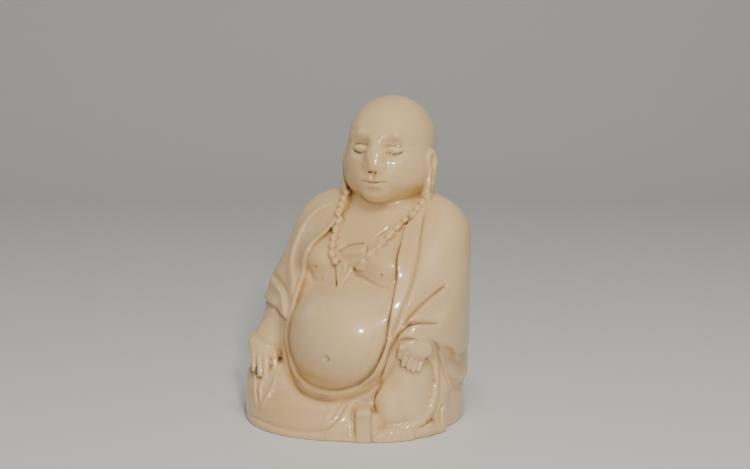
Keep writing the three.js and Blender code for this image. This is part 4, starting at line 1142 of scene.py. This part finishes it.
def look_from(name, data, aim, azimuth, elevation, distance):
    """A camera or lamp that looks at a point, from degrees round from the figure's front and up."""
    a, e = math.radians(azimuth), math.radians(elevation)
    way = Vector((math.sin(a) * math.cos(e), -math.cos(a) * math.cos(e), math.sin(e)))
    made = linked(name, data)
    made.location = (Vector(aim) + way * distance) * MM
    made.rotation_euler = way.to_track_quat("Z", "Y").to_euler()
    return made


def camera():
    lens = bpy.data.cameras.new("camera")
    lens.lens = FOCAL_PIXELS / IMAGE_WIDTH * lens.sensor_width
    place = (CAMERA_AZIMUTH, CAMERA_ELEVATION, CAMERA_DISTANCE)
    bpy.context.scene.camera = look_from("camera", lens, CAMERA_AIM, *place)


def pale_floor():
    """A matt floor that curves up into a wall behind the figure."""
    material = bpy.data.materials.new("pale_floor")
    material.use_nodes = True
    surface = material.node_tree.nodes["Principled BSDF"]
    surface.inputs["Base Color"].default_value = linear("#D8D6D1")
    surface.inputs["Roughness"].default_value = 0.7
    front, back, curve, wall, half_width = -600, 350, 250, 1200, 1500
    bends = np.linspace(0, math.pi / 2, 13)
    profile = [(back + curve * math.sin(a), curve - curve * math.cos(a)) for a in bends]
    profile = [(front, 0), *profile, (back + curve, wall)]
    turn = Matrix.Rotation(math.radians(CAMERA_AZIMUTH), 3, "Z")
    corners = [turn @ Vector((x, y, z)) for y, z in profile for x in (-half_width, half_width)]
    quads = [(2 * i, 2 * i + 1, 2 * i + 3, 2 * i + 2) for i in range(len(profile) - 1)]
    floor = piece_of("floor", np.array(corners), np.array(quads))
    floor.data.materials.append(material)


def studio():
    """Three soft lights and a pale room. The fill light leaves no mirror spot on the polish."""
    world = bpy.data.worlds.new("pale_room")
    world.use_nodes = True
    sky = world.node_tree.nodes["Background"]
    sky.inputs["Color"].default_value = linear("#E8E6E2")
    sky.inputs["Strength"].default_value = 0.12
    bpy.context.scene.world = world
    aim = (3, 0, 45)
    lights = (
        ("key", 38, 24, 600, 50, 2.1, "#FFF8F0"),
        ("fill", 42, 64, 600, 250, 2.6, "#FFFFFF"),
        ("edge", -80, 25, 700, 300, 0.2, "#FFFFFF"),
    )
    for name, azimuth, elevation, distance, width, watts, colour in lights:
        lamp = bpy.data.lights.new(name, "AREA")
        lamp.shape = "DISK"
        lamp.size = width * MM
        lamp.energy = watts
        lamp.color = linear(colour)[:3]
        placed_lamp = look_from(name, lamp, aim, azimuth, elevation, distance)
        placed_lamp.visible_glossy = name != "fill"


camera()
pale_floor()
studio()
monk = figure()
monk.data.materials.append(polished_ivory())
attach(monk, "root")
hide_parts("figure")
